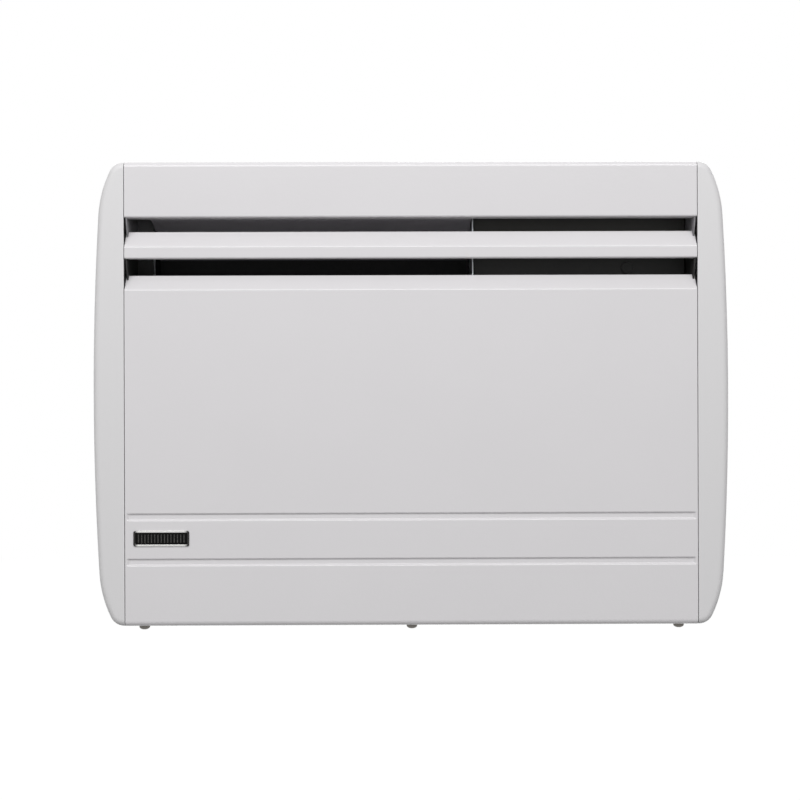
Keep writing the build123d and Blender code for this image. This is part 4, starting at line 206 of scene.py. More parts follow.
# The back panel is the same sheet, left flat. Its inner side, 23 mm before the wall, is painted almost black
# as shade inside the casing, where the slots look in.
PAINTED_SHADE_BEFORE = -0.02295
back_sheet, tree, shader, place, facets = galvanised_sheet("galvanised_sheet_painted_shade_inside")
depth = add(tree, "ShaderNodeSeparateXYZ", {0: place})
# Painted shade: everything in front of the outer face takes a near-black colour instead of the zinc.
outside = add(tree, "ShaderNodeMath", {0: depth.outputs[1], 1: PAINTED_SHADE_BEFORE}, operation="GREATER_THAN")
painted_shade_mix = add(
    tree,
    "ShaderNodeMix",
    {"Factor": outside.outputs[0], "A": linear("#1B1B1C"), "B": facets},
    data_type="RGBA",
)
tree.links.new(painted_shade_mix.outputs[2], shader.inputs["Base Color"])
dress(back_sheet, "back_panel")

# ------------------------------------------------------------------ wall bracket
# Two folded rails and two straps of zinc-plated steel are riveted into a frame that is screwed to
# the wall. The heater hangs on its hooks, and two sliding bolts lock it.
# Blank zinc plate: a faint rolling grain along the rail under a cool, fairly bright coat.
rail_zinc, tree, shader, place = finish("bright_zinc_plated_steel", "#C6CACD", Metallic=1.0, Roughness=0.3)
along = add(tree, "ShaderNodeMapping", {"Vector": place, "Scale": (0.05, 1.0, 1.0)})
grain = add(tree, "ShaderNodeTexNoise", {"Vector": along.outputs[0], "Scale": per_mm(1.5), "Detail": 4.0})
tone(tree, shader, grain.outputs[0], "#B7BCC0", "#D2D5D7")
gloss(tree, shader, grain.outputs[0], 0.24, 0.38)
relief(tree, shader, grain.outputs[0], 0.02)
dress(
    rail_zinc,
    "bracket_upper_rail",
    "bracket_lower_rail",
    "left_bracket_strap",
    "right_bracket_strap",
    "latch_ears",
)

# Hardened bolt steel, tumbled before it was plated: soft mottling and rubbed marks.
latch_steel, tree, shader, place = finish(
    "tumbled_zinc_plated_steel", "#B9BBB8", Metallic=1.0, Roughness=0.36
)
mottle = add(tree, "ShaderNodeTexNoise", {"Vector": place, "Scale": per_mm(5), "Detail": 5.0})
tone(tree, shader, mottle.outputs[0], "#A6A8A5", "#CDCFCC")
relief(tree, shader, mottle.outputs[0], 0.04)
dress(latch_steel, "left_latch_bolt", "right_latch_bolt")

# Screws and rivets in brownish grey passivated zinc, unevenly dull.
screw_zinc, tree, shader, place = finish(
    "passivated_zinc_screw_steel", "#64615D", Metallic=1.0, Roughness=0.3
)
mottle = add(tree, "ShaderNodeTexNoise", {"Vector": place, "Scale": per_mm(1.8), "Detail": 4.0})
tone(tree, shader, mottle.outputs[0], "#5C5955", "#6D6A66")
gloss(tree, shader, mottle.outputs[0], 0.24, 0.38)
relief(tree, shader, mottle.outputs[0], 0.02)
dress(
    screw_zinc,
    "rivets",
    "casing_screws",
    "clip_nuts",
    "end_cap_screws",
    "back_panel_screws",
    "interior_screws",
    "earth_stud",
)

# ------------------------------------------------------------------ louver brackets and air guide
# What stands behind the two air slots is steel sheet in matt heat-resistant lacquer, so that nothing shines
# in the slots: brackets, air guide, heat shield and the compartment's shield.
# Their dark colours are partly the lacquer's own and partly painted shade inside the slots.
# Level with the lower slot the colour turns almost black, which is painted shade.
PAINTED_SHADE_BELOW = 0.137  # metres above the wall bracket's middle
UNSHADED_ABOVE = 0.148


def lacquer_with_painted_shade(name, shade_colour, own_colour, rough):
    """Eggshell lacquer on steel sheet, in its own colour above and in a near-black painted shade below, the
    change lying behind the louver blade.
    """
    lacquer, tree, shader, place = finish(name, own_colour, Roughness=rough, IOR=1.5)
    height = add(tree, "ShaderNodeSeparateXYZ", {0: place})
    # Painted shade mask: 1 above, where the lacquer keeps its own colour, 0 below, where it takes the shade
    # colour.
    inputs = {"Value": height.outputs[2], "From Min": PAINTED_SHADE_BELOW, "From Max": UNSHADED_ABOVE}
    shade_mask = add(tree, "ShaderNodeMapRange", inputs)
    tone(tree, shader, shade_mask.outputs[0], shade_colour, own_colour)
    skin = add(tree, "ShaderNodeTexNoise", {"Vector": place, "Scale": per_mm(3), "Detail": 3.0})
    gloss(tree, shader, skin.outputs[0], rough - 0.07, rough + 0.07)
    relief(tree, shader, skin.outputs[0], 0.03)
    return lacquer


# The shields are the darkest, with a slight shine.
black_lacquer = lacquer_with_painted_shade("black_lacquered_steel_sheet", "#1E1E1D", "#3B3B38", 0.55)
dress(black_lacquer, "compartment_shield", "heat_shield")

# The brackets are a middle grey, which shows them faintly behind the upper slot.
mid_grey_lacquer = lacquer_with_painted_shade("mid_grey_lacquered_steel_sheet", "#1C1C1B", "#858487", 0.6)
dress(mid_grey_lacquer, "left_louver_bracket", "right_louver_bracket")

# The air guide is a lighter, faintly violet grey that scatters what falls through the slot.
grey_lacquer = lacquer_with_painted_shade("grey_lacquered_steel_sheet", "#151416", "#BCB8BF", 0.8)
dress(grey_lacquer, "air_guide")

# ------------------------------------------------------------------ heating element
# A finned aluminium body is cast round a hairpin of stainless sheathed element, with ceramic
# bushes in its brackets and ceramic collars round the terminal pins.
# Die-cast aluminium: pale, slightly rough, with fine flow marks.
aluminium, tree, shader, place = finish("die_cast_aluminium", "#C9CBCC", Metallic=1.0, Roughness=0.45)
flow = add(
    tree,
    "ShaderNodeTexNoise",
    {"Vector": place, "Scale": per_mm(4), "Detail": 5.0, "Distortion": 0.6},
)
tone(tree, shader, flow.outputs[0], "#B8BABB", "#DADCDC")
gloss(tree, shader, flow.outputs[0], 0.38, 0.55)
relief(tree, shader, flow.outputs[0], 0.05)
dress(aluminium, "element_body")

# Drawn stainless tube, straw-coloured where the heat has tinted it.
sheath_steel, tree, shader, place = finish(
    "heat_tinted_stainless_steel", "#B3AA9A", Metallic=1.0, Roughness=0.3
)
tint = add(tree, "ShaderNodeTexNoise", {"Vector": place, "Scale": per_mm(25), "Detail": 2.0})
tone(tree, shader, tint.outputs[0], "#A79A84", "#BDB9B2")
drawn = add(tree, "ShaderNodeTexNoise", {"Vector": place, "Scale": per_mm(1.5), "Detail": 3.0})
relief(tree, shader, drawn.outputs[0], 0.01)
dress(sheath_steel, "element_sheath", "element_pins", "sensor_clips")

# Pressed steatite: cream, dead matt, with tiny pits.
steatite, tree, shader, place = finish("pressed_steatite_ceramic", "#E4DCCB", Roughness=0.7, IOR=1.55)
pits = add(tree, "ShaderNodeTexNoise", {"Vector": place, "Scale": per_mm(0.9), "Detail": 3.0})
tone(tree, shader, pits.outputs[0], "#DAD1BE", "#ECE6D8")
relief(tree, shader, pits.outputs[0], 0.06)
dress(steatite, "element_collars", "element_bushes")

# ------------------------------------------------------------------ controls
# A black well let into the hood carries the thermostat dial, the rocker switch and the neon
# lamp. Their bodies are moulded plastic and hang under the well's floor.
# Moulded ABS with a fine spark-eroded grain, drawn 1.2 mm coarse so that it shows.
black_abs, tree, shader, place = finish("black_moulded_abs", "#1E1F20", Roughness=0.5, IOR=1.53)
grain = add(tree, "ShaderNodeTexNoise", {"Vector": place, "Scale": per_mm(1.2), "Detail": 3.0})
tone(tree, shader, grain.outputs[0], "#1A1B1C", "#242527")
gloss(tree, shader, grain.outputs[0], 0.42, 0.58)
relief(tree, shader, grain.outputs[0], 0.05)
dress(black_abs, "control_fascia", "switch_body", "thermal_cutout")

# Phenolic thermostat case: dark brown, dull, with a pressed mottling.
phenolic, tree, shader, place = finish("pressed_phenolic", "#3A2A22", Roughness=0.6, IOR=1.6)
mottle = add(tree, "ShaderNodeTexNoise", {"Vector": place, "Scale": per_mm(2), "Detail": 4.0})
tone(tree, shader, mottle.outputs[0], "#31231C", "#453329")
relief(tree, shader, mottle.outputs[0], 0.04)
dress(phenolic, "thermostat_body")

# Turned and nickel-plated brass: bright, with fine turning lines round the shaft.
nickel, tree, shader, place = finish("nickel_plated_brass", "#CFC8B4", Metallic=1.0, Roughness=0.25)
lines = add(
    tree,
    "ShaderNodeTexWave",
    {"Vector": place, "Scale": per_mm(3), "Distortion": 0.4},
    bands_direction="Z",
)
tone(tree, shader, lines.outputs[0], "#C3BCA7", "#DAD4C3")
relief(tree, shader, lines.outputs[0], 0.01)
dress(nickel, "thermostat_spindle", "earth_nut")

# Glossy white ABS for the dial, very slightly uneven as mouldings are.
white_abs, tree, shader, place = finish("white_moulded_abs", "#E3E2DE", Roughness=0.3, IOR=1.53)
skin = add(tree, "ShaderNodeTexNoise", {"Vector": place, "Scale": per_mm(2.5), "Detail": 2.0})
tone(tree, shader, skin.outputs[0], "#DEDDD8", "#E8E7E4")
gloss(tree, shader, skin.outputs[0], 0.25, 0.36)
relief(tree, shader, skin.outputs[0], 0.02)
dress(white_abs, "thermostat_dial")

# The rocker is polished in the tool, so that it shines more than the well round it.
rocker_black, tree, shader, place = finish("black_polished_nylon", "#17181A", Roughness=0.24, IOR=1.53)
skin = add(tree, "ShaderNodeTexNoise", {"Vector": place, "Scale": per_mm(3), "Detail": 2.0})
gloss(tree, shader, skin.outputs[0], 0.2, 0.3)
relief(tree, shader, skin.outputs[0], 0.01)
dress(rocker_black, "power_rocker")

# Amber polycarbonate lens with the inside cast as small prisms.
amber, tree, shader, place = finish(
    "amber_polycarbonate", "#E8791C", Roughness=0.12, IOR=1.58, Transmission_Weight=0.55
)
prisms = add(tree, "ShaderNodeTexVoronoi", {"Vector": place, "Scale": per_mm(1.4)})
relief(tree, shader, prisms.outputs["Distance"], 0.12)
dress(amber, "pilot_lamp")

# ------------------------------------------------------------------ room sensor
# A copper bulb is clipped above the base grille, and its capillary runs up to the thermostat.
# Drawn copper that has darkened a little in patches.
copper, tree, shader, place = finish("drawn_copper", "#B87350", Metallic=1.0, Roughness=0.33)
age = add(tree, "ShaderNodeTexNoise", {"Vector": place, "Scale": per_mm(12), "Detail": 5.0})
tone(tree, shader, age.outputs[0], "#8E5638", "#CB8661")
gloss(tree, shader, age.outputs[0], 0.28, 0.45)
dress(copper, "sensor_bulb", "sensor_capillary")

# ------------------------------------------------------------------ terminal block and wiring
# The mains cable enters through a nylon gland, and its cores end in a three-pole block. Single
# silicone-insulated leads run from there to the switch, the thermostat and the element.
# Natural polyamide: milky, waxy, slightly translucent.
nylon, tree, shader, place = finish(
    "natural_polyamide", "#E6E3D7", Roughness=0.4, IOR=1.53, Subsurface_Weight=0.15, Subsurface_Scale=0.002
)
skin = add(tree, "ShaderNodeTexNoise", {"Vector": place, "Scale": per_mm(2), "Detail": 3.0})
tone(tree, shader, skin.outputs[0], "#DFDBCD", "#ECEADF")
relief(tree, shader, skin.outputs[0], 0.03)
dress(nylon, "terminal_block")

# Turned brass screws, cheaply finished.
brass, tree, shader, place = finish("turned_brass", "#C9A24E", Metallic=1.0, Roughness=0.3)
cut = add(tree, "ShaderNodeTexNoise", {"Vector": place, "Scale": per_mm(1), "Detail": 4.0})
tone(tree, shader, cut.outputs[0], "#B28C3F", "#DCB866")
relief(tree, shader, cut.outputs[0], 0.02)
dress(brass, "terminal_screws")

# Grey polyamide of the gland and its nut, matt from the tool.
grey_nylon, tree, shader, place = finish("light_grey_polyamide", "#B9BBBC", Roughness=0.46, IOR=1.53)
skin = add(tree, "ShaderNodeTexNoise", {"Vector": place, "Scale": per_mm(1.2), "Detail": 3.0})
tone(tree, shader, skin.outputs[0], "#B1B3B4", "#C2C4C5")
relief(tree, shader, skin.outputs[0], 0.04)
dress(grey_nylon, "cable_gland", "gland_locknut")

# Silicone sleeving: soft, slightly dusty and finely uneven.
BROWN_LEADS = ("live_lead", "switched_lead", "thermostat_lead", "element_lead")
for name, low, high, leads in (
    ("brown_silicone_sleeve", "#4B2F22", "#5C3B2B", BROWN_LEADS),
    ("blue_silicone_sleeve", "#1F4E8C", "#2B61A6", ("neutral_lead",)),
):
    sleeve, tree, shader, place = finish(name, low, Roughness=0.5, IOR=1.43)
    dust = add(tree, "ShaderNodeTexNoise", {"Vector": place, "Scale": per_mm(2), "Detail": 4.0})
    tone(tree, shader, dust.outputs[0], low, high)
    relief(tree, shader, dust.outputs[0], 0.05)
    dress(sleeve, *leads)

# Earth sleeving is green with yellow bands, 6 mm of each.
earth_sleeve, tree, shader, place = finish(
    "green_yellow_silicone_sleeve", "#2E7D3A", Roughness=0.5, IOR=1.43
)
bands = add(tree, "ShaderNodeTexWave", {"Vector": place, "Scale": per_mm(38)}, bands_direction="DIAGONAL")
edge = add(tree, "ShaderNodeMapRange", {"Value": bands.outputs["Fac"], "From Min": 0.45, "From Max": 0.55})
tone(tree, shader, edge.outputs[0], "#2E7D3A", "#E3C52A")
dress(earth_sleeve, "earth_lead")


# ------------------------------------------------------------------ casing
# The front panel, the louver blade and the hood are 1 mm steel sheet, folded on a press brake
# and powder-coated light grey. Two grooves are pressed along the panel to stiffen it.
# These sizes are in millimetres. Heights and depths are those of the middle of the sheet.
CAP_SEAM = 277.7  # half the panels' width
SHEET = 1.0
BEND = 1.6
FRONT = -119.5
LIP = -103.5
TOP = 224.5
BOTTOM = -224.5


def geometry_tree(name, **sizes):
    """Starts a Geometry Nodes tree with an input for each named size, and returns it with its inputs."""
    tree = bpy.data.node_groups.new(name, "GeometryNodeTree")
    tree.interface.new_socket("Geometry", in_out="INPUT", socket_type="NodeSocketGeometry")
    tree.interface.new_socket("Geometry", in_out="OUTPUT", socket_type="NodeSocketGeometry")
    for size, value in sizes.items():
        kind = {int: "NodeSocketInt", float: "NodeSocketFloat", tuple: "NodeSocketVector"}[type(value)]
        socket = tree.interface.new_socket(size.replace("_", " "), in_out="INPUT", socket_type=kind)
        socket.default_value = value
    tree.interface.new_socket("Material", in_out="INPUT", socket_type="NodeSocketMaterial")
    return tree, add(tree, "NodeGroupInput").outputs


def rounded_rectangle(tree, width, height, corner, steps):
    """A rectangle's outline with its corners rounded in so many steps."""
    shape = add(tree, "GeometryNodeCurvePrimitiveQuadrilateral", {"Width": width, "Height": height})
    inputs = {"Curve": shape.outputs[0], "Radius": corner, "Count": steps}
    return add(tree, "GeometryNodeFilletCurve", inputs, mode="POLY").outputs[0]


def end_tree(tree, geometry, given):
    """Ends the tree: instances made real, smooth faces, the given material."""
    real = add(tree, "GeometryNodeRealizeInstances", {"Geometry": geometry})
    smooth = add(tree, "GeometryNodeSetShadeSmooth", {"Geometry": real.outputs[0]})
    inputs = {"Geometry": smooth.outputs[0], "Material": given["Material"]}
    coated = add(tree, "GeometryNodeSetMaterial", inputs)
    add(tree, "NodeGroupOutput", {"Geometry": coated.outputs[0]})


def new_piece(name, points, edges=(), faces=()):
    """A mesh object at the origin. Points are in millimetres."""
    mesh = bpy.data.meshes.new(name)
    mesh.from_pydata([[c / 1000 for c in p] for p in points], edges, faces)
    piece = bpy.data.objects.new(name, mesh)
    bpy.context.scene.collection.objects.link(piece)
    return piece


def grow(piece, tree, **values):
    """Puts the tree on the piece with its inputs set."""
    modifier = piece.modifiers.new(tree.name, "NODES")
    modifier.node_group = tree
    given = [item for item in tree.interface.items_tree if item.in_out == "INPUT"]
    sockets = {item.name: item.identifier for item in given}
    for name, value in values.items():
        modifier[sockets[name.replace("_", " ")]] = value


def settle(piece, crease=35.0):
    """Turns what the modifiers make into the piece's own mesh, sharp where it folds by more than crease.

    With no crease, the large flat faces set the shading, and the bends take it over smoothly."""
    if not crease:
        piece.modifiers.new("flats first", "WEIGHTED_NORMAL").weight = 100
    graph = bpy.context.evaluated_depsgraph_get()
    mesh = bpy.data.meshes.new_from_object(piece.evaluated_get(graph), depsgraph=graph)
    piece.modifiers.clear()
    piece.data = mesh
    mesh.name = piece.name
    if crease:
        mesh.shade_smooth()
        mesh.set_sharp_from_angle(angle=math.radians(crease))
    return piece


# The middle of the sheet is drawn as one line through its folds. The line is rounded at each
# fold, pulled out to the width in runs, and the grooves fade out before both ends.
folded_sheet, given = geometry_tree("folded_sheet", Width=0.5, Plain_end=0.001, Fade=0.003, Front=-0.1195)
line = add(folded_sheet, "GeometryNodeMeshToCurve", {"Mesh": given["Geometry"]})
bend = add(folded_sheet, "GeometryNodeInputNamedAttribute", {"Name": "bend"}, data_type="FLOAT")
rounded = add(
    folded_sheet,
    "GeometryNodeFilletCurve",
    {"Curve": line.outputs[0], "Radius": bend.outputs[0], "Count": 6, "Limit Radius": True},
    mode="POLY",
)
wire = add(folded_sheet, "GeometryNodeCurveToMesh", {"Curve": rounded.outputs[0]})
half_width = add(folded_sheet, "ShaderNodeMath", {0: given["Width"], 1: -0.5}, operation="MULTIPLY")
start = add(folded_sheet, "ShaderNodeCombineXYZ", {"X": half_width.outputs[0]})
inputs = {"Geometry": wire.outputs[0], "Offset": start.outputs[0]}
sheet = add(folded_sheet, "GeometryNodeSetPosition", inputs)
ends = add(folded_sheet, "ShaderNodeMath", {0: given["Plain end"], 1: given["Fade"]}, operation="ADD")
inputs = {0: ends.outputs[0], 1: -2.0, 2: given["Width"]}
middle = add(folded_sheet, "ShaderNodeMath", inputs, operation="MULTIPLY_ADD")
FADE_STEPS = 5
step = add(folded_sheet, "ShaderNodeMath", {0: given["Fade"], 1: 1 / FADE_STEPS}, operation="MULTIPLY")
fade = [step.outputs[0]] * FADE_STEPS
chosen = None
for run in [given["Plain end"], *fade, middle.outputs[0], *fade, given["Plain end"]]:
    pull = add(folded_sheet, "ShaderNodeCombineXYZ", {"X": run})
    inputs = {"Mesh": sheet.outputs[0], "Offset": pull.outputs[0], "Offset Scale": 1.0}
    if chosen:
        inputs["Selection"] = chosen
    sheet = add(folded_sheet, "GeometryNodeExtrudeMesh", inputs, mode="EDGES")
    chosen = sheet.outputs["Top"]
where = add(folded_sheet, "GeometryNodeInputPosition")
axes = add(folded_sheet, "ShaderNodeSeparateXYZ", {0: where.outputs[0]})
off = add(folded_sheet, "ShaderNodeMath", {0: axes.outputs[0]}, operation="ABSOLUTE")
outer = add(folded_sheet, "ShaderNodeMath", {0: given["Width"], 1: 0.5}, operation="MULTIPLY")
inputs = {0: outer.outputs[0], 1: given["Plain end"]}
fade_end = add(folded_sheet, "ShaderNodeMath", inputs, operation="SUBTRACT")
inputs = {0: outer.outputs[0], 1: ends.outputs[0]}
fade_start = add(folded_sheet, "ShaderNodeMath", inputs, operation="SUBTRACT")
fading = add(
    folded_sheet,
    "ShaderNodeMapRange",
    {"Value": off.outputs[0], "From Min": fade_start.outputs[0], "From Max": fade_end.outputs[0]},
    interpolation_type="SMOOTHSTEP",
)
press = add(folded_sheet, "GeometryNodeInputNamedAttribute", {"Name": "press"}, data_type="FLOAT")
inputs = {0: fading.outputs[0], 1: press.outputs[0]}
flatten = add(folded_sheet, "ShaderNodeMath", inputs, operation="MULTIPLY")
back = add(folded_sheet, "ShaderNodeMath", {0: given["Front"], 1: axes.outputs[1]}, operation="SUBTRACT")
move = add(folded_sheet, "ShaderNodeMath", {0: back.outputs[0], 1: flatten.outputs[0]}, operation="MULTIPLY")
shift = add(folded_sheet, "ShaderNodeCombineXYZ", {"Y": move.outputs[0]})
inputs = {"Geometry": sheet.outputs[0], "Offset": shift.outputs[0]}
sheet = add(folded_sheet, "GeometryNodeSetPosition", inputs)
end_tree(folded_sheet, sheet.outputs[0], given)


def bevelled_edge(fold_height, bevel, lip):
    """The sheet over a bevelled top edge, from its rear lip, as (y, z, bend radius, pressed)."""
    fold = fold_height - SHEET / 2 * math.tan(math.radians((90 - bevel) / 2))
    rear = fold + (LIP - FRONT) * math.tan(math.radians(bevel))
    return [(LIP, rear - lip, 0, 0), (LIP, rear, BEND, 0), (FRONT, fold, BEND, 0)]


def fold_sheet(name, outline, material):
    """Makes one folded solid sheet from its outline of (y, z, bend radius, pressed)."""
    points = [(0, y, z) for y, z, _, _ in outline]
    piece = new_piece(name, points, [(i, i + 1) for i in range(len(outline) - 1)])
    for label, column, unit in (("bend", 2, 1000), ("press", 3, 1)):
        attribute = piece.data.attributes.new(label, "FLOAT", "POINT")
        attribute.data.foreach_set("value", [point[column] / unit for point in outline])
    grow(piece, folded_sheet, Width=2 * CAP_SEAM / 1000, Material=material)
    solid = piece.modifiers.new("wall", "SOLIDIFY")
    solid.thickness = SHEET / 1000
    solid.offset = 0
    solid.use_even_offset = True
    solid.use_quality_normals = True
    return piece


def ease(piece, width):
    """Breaks the sharp edges of a piece by this many millimetres."""
    bevel = piece.modifiers.new("eased", "BEVEL")
    bevel.width = width / 1000
    bevel.segments = 2
    bevel.limit_method = "ANGLE"
    bevel.angle_limit = math.radians(50)


# Powder coat on steel: a warm light grey with a soft sheen, and the faint orange peel of the
# melted powder, drawn 2.2 mm across so that it shows.
powder_coat, tree, shader, place = finish("light_grey_powder_coat", "#DAD8DA", Roughness=0.15, IOR=1.5)
peel = add(tree, "ShaderNodeTexNoise", {"Vector": place, "Scale": per_mm(2.2), "Detail": 2.0})
drift = add(tree, "ShaderNodeTexNoise", {"Vector": place, "Scale": per_mm(90), "Detail": 2.0})
tone(tree, shader, drift.outputs[0], "#D9D7D9", "#DCDADC")
gloss(tree, shader, peel.outputs[0], 0.12, 0.18)
relief(tree, shader, peel.outputs[0], 0.03)

GROOVES = (-119.1, -162.9)
GROOVE_HALF = 3.8
GROOVE_FLOOR_HALF = 2.3
GROOVE_FLOOR = FRONT + 2
panel_outline = bevelled_edge(fold_height=100.9, bevel=47, lip=12)
for height in GROOVES:
    for depth, rise in (
        (FRONT, GROOVE_HALF),
        (GROOVE_FLOOR, GROOVE_FLOOR_HALF),
        (GROOVE_FLOOR, -GROOVE_FLOOR_HALF),
        (FRONT, -GROOVE_HALF),
    ):
        panel_outline.append((depth, height + rise, 0.9, 1))
panel_outline += [(FRONT, BOTTOM, 5.0, 0), (-94.5, BOTTOM, 0, 0)]
panel = fold_sheet("grooved_front_panel", panel_outline, powder_coat)
ease(panel, 0.25)
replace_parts(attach(settle(panel, crease=None), "heater"), "front_panel")

LOUVER_BOTTOM = 131.6
louver_outline = bevelled_edge(fold_height=142.6, bevel=49, lip=10)
louver_outline += [(FRONT, LOUVER_BOTTOM, 1.3, 0), (-111, LOUVER_BOTTOM, 0, 0)]
louver = fold_sheet("folded_louver_blade", louver_outline, powder_coat)
ease(louver, 0.25)
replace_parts(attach(settle(louver, crease=None), "heater"), "louver_blade")

# The hood has a rectangular opening punched for the controls, with its corners rounded.
PUNCH_REACH = 0.004  # of the punch, above and below the sheet, in metres
punched, given = geometry_tree(
    "punched_opening", Length=0.128, Depth=0.036, Corner=0.006, Middle=(0.192, -0.057, 0.225)
)
shape = rounded_rectangle(punched, given["Length"], given["Depth"], given["Corner"], 8)
punch = add(punched, "GeometryNodeFillCurve", {"Curve": shape}, mode="NGONS")
inputs = {"Geometry": punch.outputs[0], "Translation": (0, 0, -PUNCH_REACH)}
down = add(punched, "GeometryNodeTransform", inputs)
lid = add(punched, "GeometryNodeFlipFaces", {"Mesh": down.outputs[0]})
inputs = {"Mesh": down.outputs[0], "Offset Scale": 2 * PUNCH_REACH, "Individual": False}
tall = add(punched, "GeometryNodeExtrudeMesh", inputs)
body = add(punched, "GeometryNodeJoinGeometry")
punched.links.new(tall.outputs[0], body.inputs[0])
punched.links.new(lid.outputs[0], body.inputs[0])
body = add(punched, "GeometryNodeMergeByDistance", {"Geometry": body.outputs[0], "Distance": 0.00001})
body = add(punched, "GeometryNodeTransform", {"Geometry": body.outputs[0], "Translation": given["Middle"]})
cut = add(punched, "GeometryNodeMeshBoolean", operation="DIFFERENCE")
punched.links.new(given["Geometry"], cut.inputs["Mesh 1"])
punched.links.new(body.outputs[0], cut.inputs["Mesh 2"])
end_tree(punched, cut.outputs[0], given)

HOOD_BOTTOM = 171.5
HOOD_REAR = -21.5
hood_outline = [
    (-105, HOOD_BOTTOM, 0, 0),
    (FRONT, HOOD_BOTTOM, 1.4, 0),
    (FRONT, TOP, 4.5, 0),
    (HOOD_REAR, TOP, 2.0, 0),
    (HOOD_REAR, 205, 0, 0),
]
hood = fold_sheet("folded_hood", hood_outline, powder_coat)
grow(hood, punched, Material=powder_coat)
ease(hood, 0.2)
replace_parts(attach(settle(hood, crease=None), "heater"), "top_hood")

# ------------------------------------------------------------------ end caps
# Each end is closed by a moulded ABS cap, coloured to match the paint, with a barely curved side
# that turns into rounded shoulders. It is a shell, held from inside by screws in its bosses.
# Moulded ABS with a fine satin grain, drawn 1.5 mm coarse so that it shows.
cap_abs, tree, shader, place = finish(
    "light_grey_moulded_abs", "#D9D8D9", Roughness=0.42, IOR=1.53, Specular_IOR_Level=0.3
)
grain = add(tree, "ShaderNodeTexNoise", {"Vector": place, "Scale": per_mm(1.5), "Detail": 2.0})
gloss(tree, shader, grain.outputs[0], 0.34, 0.46)
relief(tree, shader, grain.outputs[0], 0.02)
dress(cap_abs, "left_end_cap", "right_end_cap")

# ------------------------------------------------------------------ badge place
# A small frame stands on the front panel where a badge would go. It is chromed plastic round a
# black inset, and bears nothing but plain ribs.
BADGE = (-0.2425, -0.120, -0.1398)  # its middle, on the front panel
DARK_REFLECTION_FROM = 0.0225  # from the badge's middle, to both sides
DARK_REFLECTION_BEYOND = 0.0255

# Chrome on plastic: bright along the top and bottom, and almost black round both ends, where a dark
# reflection is painted into the colour.
badge_chrome, tree, shader, place = finish("chromed_abs_with_painted_reflection", "#C4C3C1", Metallic=1.0, Roughness=0.28)
haze = add(tree, "ShaderNodeTexNoise", {"Vector": place, "Scale": per_mm(1.5), "Detail": 2.0})
gloss(tree, shader, haze.outputs[0], 0.22, 0.36)
across = add(tree, "ShaderNodeSeparateXYZ", {0: place})
across = add(tree, "ShaderNodeMath", {0: across.outputs[0], 1: BADGE[0]}, operation="SUBTRACT")
across = add(tree, "ShaderNodeMath", {0: across.outputs[0]}, operation="ABSOLUTE")
# Painted reflection: towards both ends the base colour turns almost black.
inputs = {"Value": across.outputs[0], "From Min": DARK_REFLECTION_FROM, "From Max": DARK_REFLECTION_BEYOND}
dark_reflection_mask = add(tree, "ShaderNodeMapRange", inputs)
tone(tree, shader, dark_reflection_mask.outputs[0], "#C4C3C1", "#353433")

# Black lacquer, rubbed down so that it barely shines.
badge_black, tree, shader, place = finish(
    "black_satin_lacquer", "#0B0B0B", Roughness=0.5, IOR=1.5, Specular_IOR_Level=0.06
)
haze = add(tree, "ShaderNodeTexNoise", {"Vector": place, "Scale": per_mm(2), "Detail": 2.0})
gloss(tree, shader, haze.outputs[0], 0.45, 0.56)
relief(tree, shader, haze.outputs[0], 0.01)

# Hot-stamped dark silver foil on the ribs, worn thin in spots.
foil, tree, shader, place = finish(
    "silver_stamping_foil", "#4E4D4A", Roughness=0.5, IOR=1.5, Specular_IOR_Level=0.2
)
worn = add(tree, "ShaderNodeTexNoise", {"Vector": place, "Scale": per_mm(0.8), "Detail": 3.0})
worn = add(tree, "ShaderNodeMapRange", {"Value": worn.outputs[0], "From Min": 0.35, "From Max": 0.6})
tone(tree, shader, worn.outputs[0], "#121212", "#4E4D4A")


def rounded_plate(tree, width, depth, corner, thick):
    """A plate with rounded corners that rises from the ground by its thickness."""
    shape = rounded_rectangle(tree, width, depth, corner, 6)
    under = add(tree, "GeometryNodeFillCurve", {"Curve": shape}, mode="NGONS")
    lid = add(tree, "GeometryNodeFlipFaces", {"Mesh": under.outputs[0]})
    lift = add(tree, "ShaderNodeCombineXYZ", {"Z": thick})
    tall = add(
        tree,
        "GeometryNodeExtrudeMesh",
        {"Mesh": under.outputs[0], "Offset": lift.outputs[0], "Offset Scale": 1.0, "Individual": False},
    )
    both = add(tree, "GeometryNodeJoinGeometry")
    tree.links.new(tall.outputs[0], both.inputs[0])
    tree.links.new(lid.outputs[0], both.inputs[0])
    inputs = {"Geometry": both.outputs[0], "Distance": 0.00001}
    return add(tree, "GeometryNodeMergeByDistance", inputs).outputs[0]


def stand_on_front(piece, place):
    """Turns what lies on the ground so that it stands on the front panel at that place."""
    piece.data.transform(Matrix.Translation(place) @ Matrix.Rotation(math.radians(90), 4, "X"))


# The inset is a thin plate, with a row of low ribs stamped in foil.
ribbed_plate, given = geometry_tree(
    "ribbed_plate", Length=0.0503, Height=0.0114, Corner=0.001, Thickness=0.0006, Ribs=15, Rib_height=0.0003
)
ribbed_plate.interface.new_socket("Foil", in_out="INPUT", socket_type="NodeSocketMaterial")
given = next(n for n in ribbed_plate.nodes if n.bl_idname == "NodeGroupInput").outputs
plate = rounded_plate(ribbed_plate, given["Length"], given["Height"], given["Corner"], given["Thickness"])
plate = add(ribbed_plate, "GeometryNodeSetMaterial", {"Geometry": plate, "Material": given["Material"]})
gaps = add(ribbed_plate, "ShaderNodeMath", {0: given["Ribs"], 1: 1.0}, operation="ADD")
pitch = add(ribbed_plate, "ShaderNodeMath", {0: given["Length"], 1: gaps.outputs[0]}, operation="DIVIDE")
inputs = {0: given["Length"], 1: -0.5, 2: pitch.outputs[0]}
first = add(ribbed_plate, "ShaderNodeMath", inputs, operation="MULTIPLY_ADD")
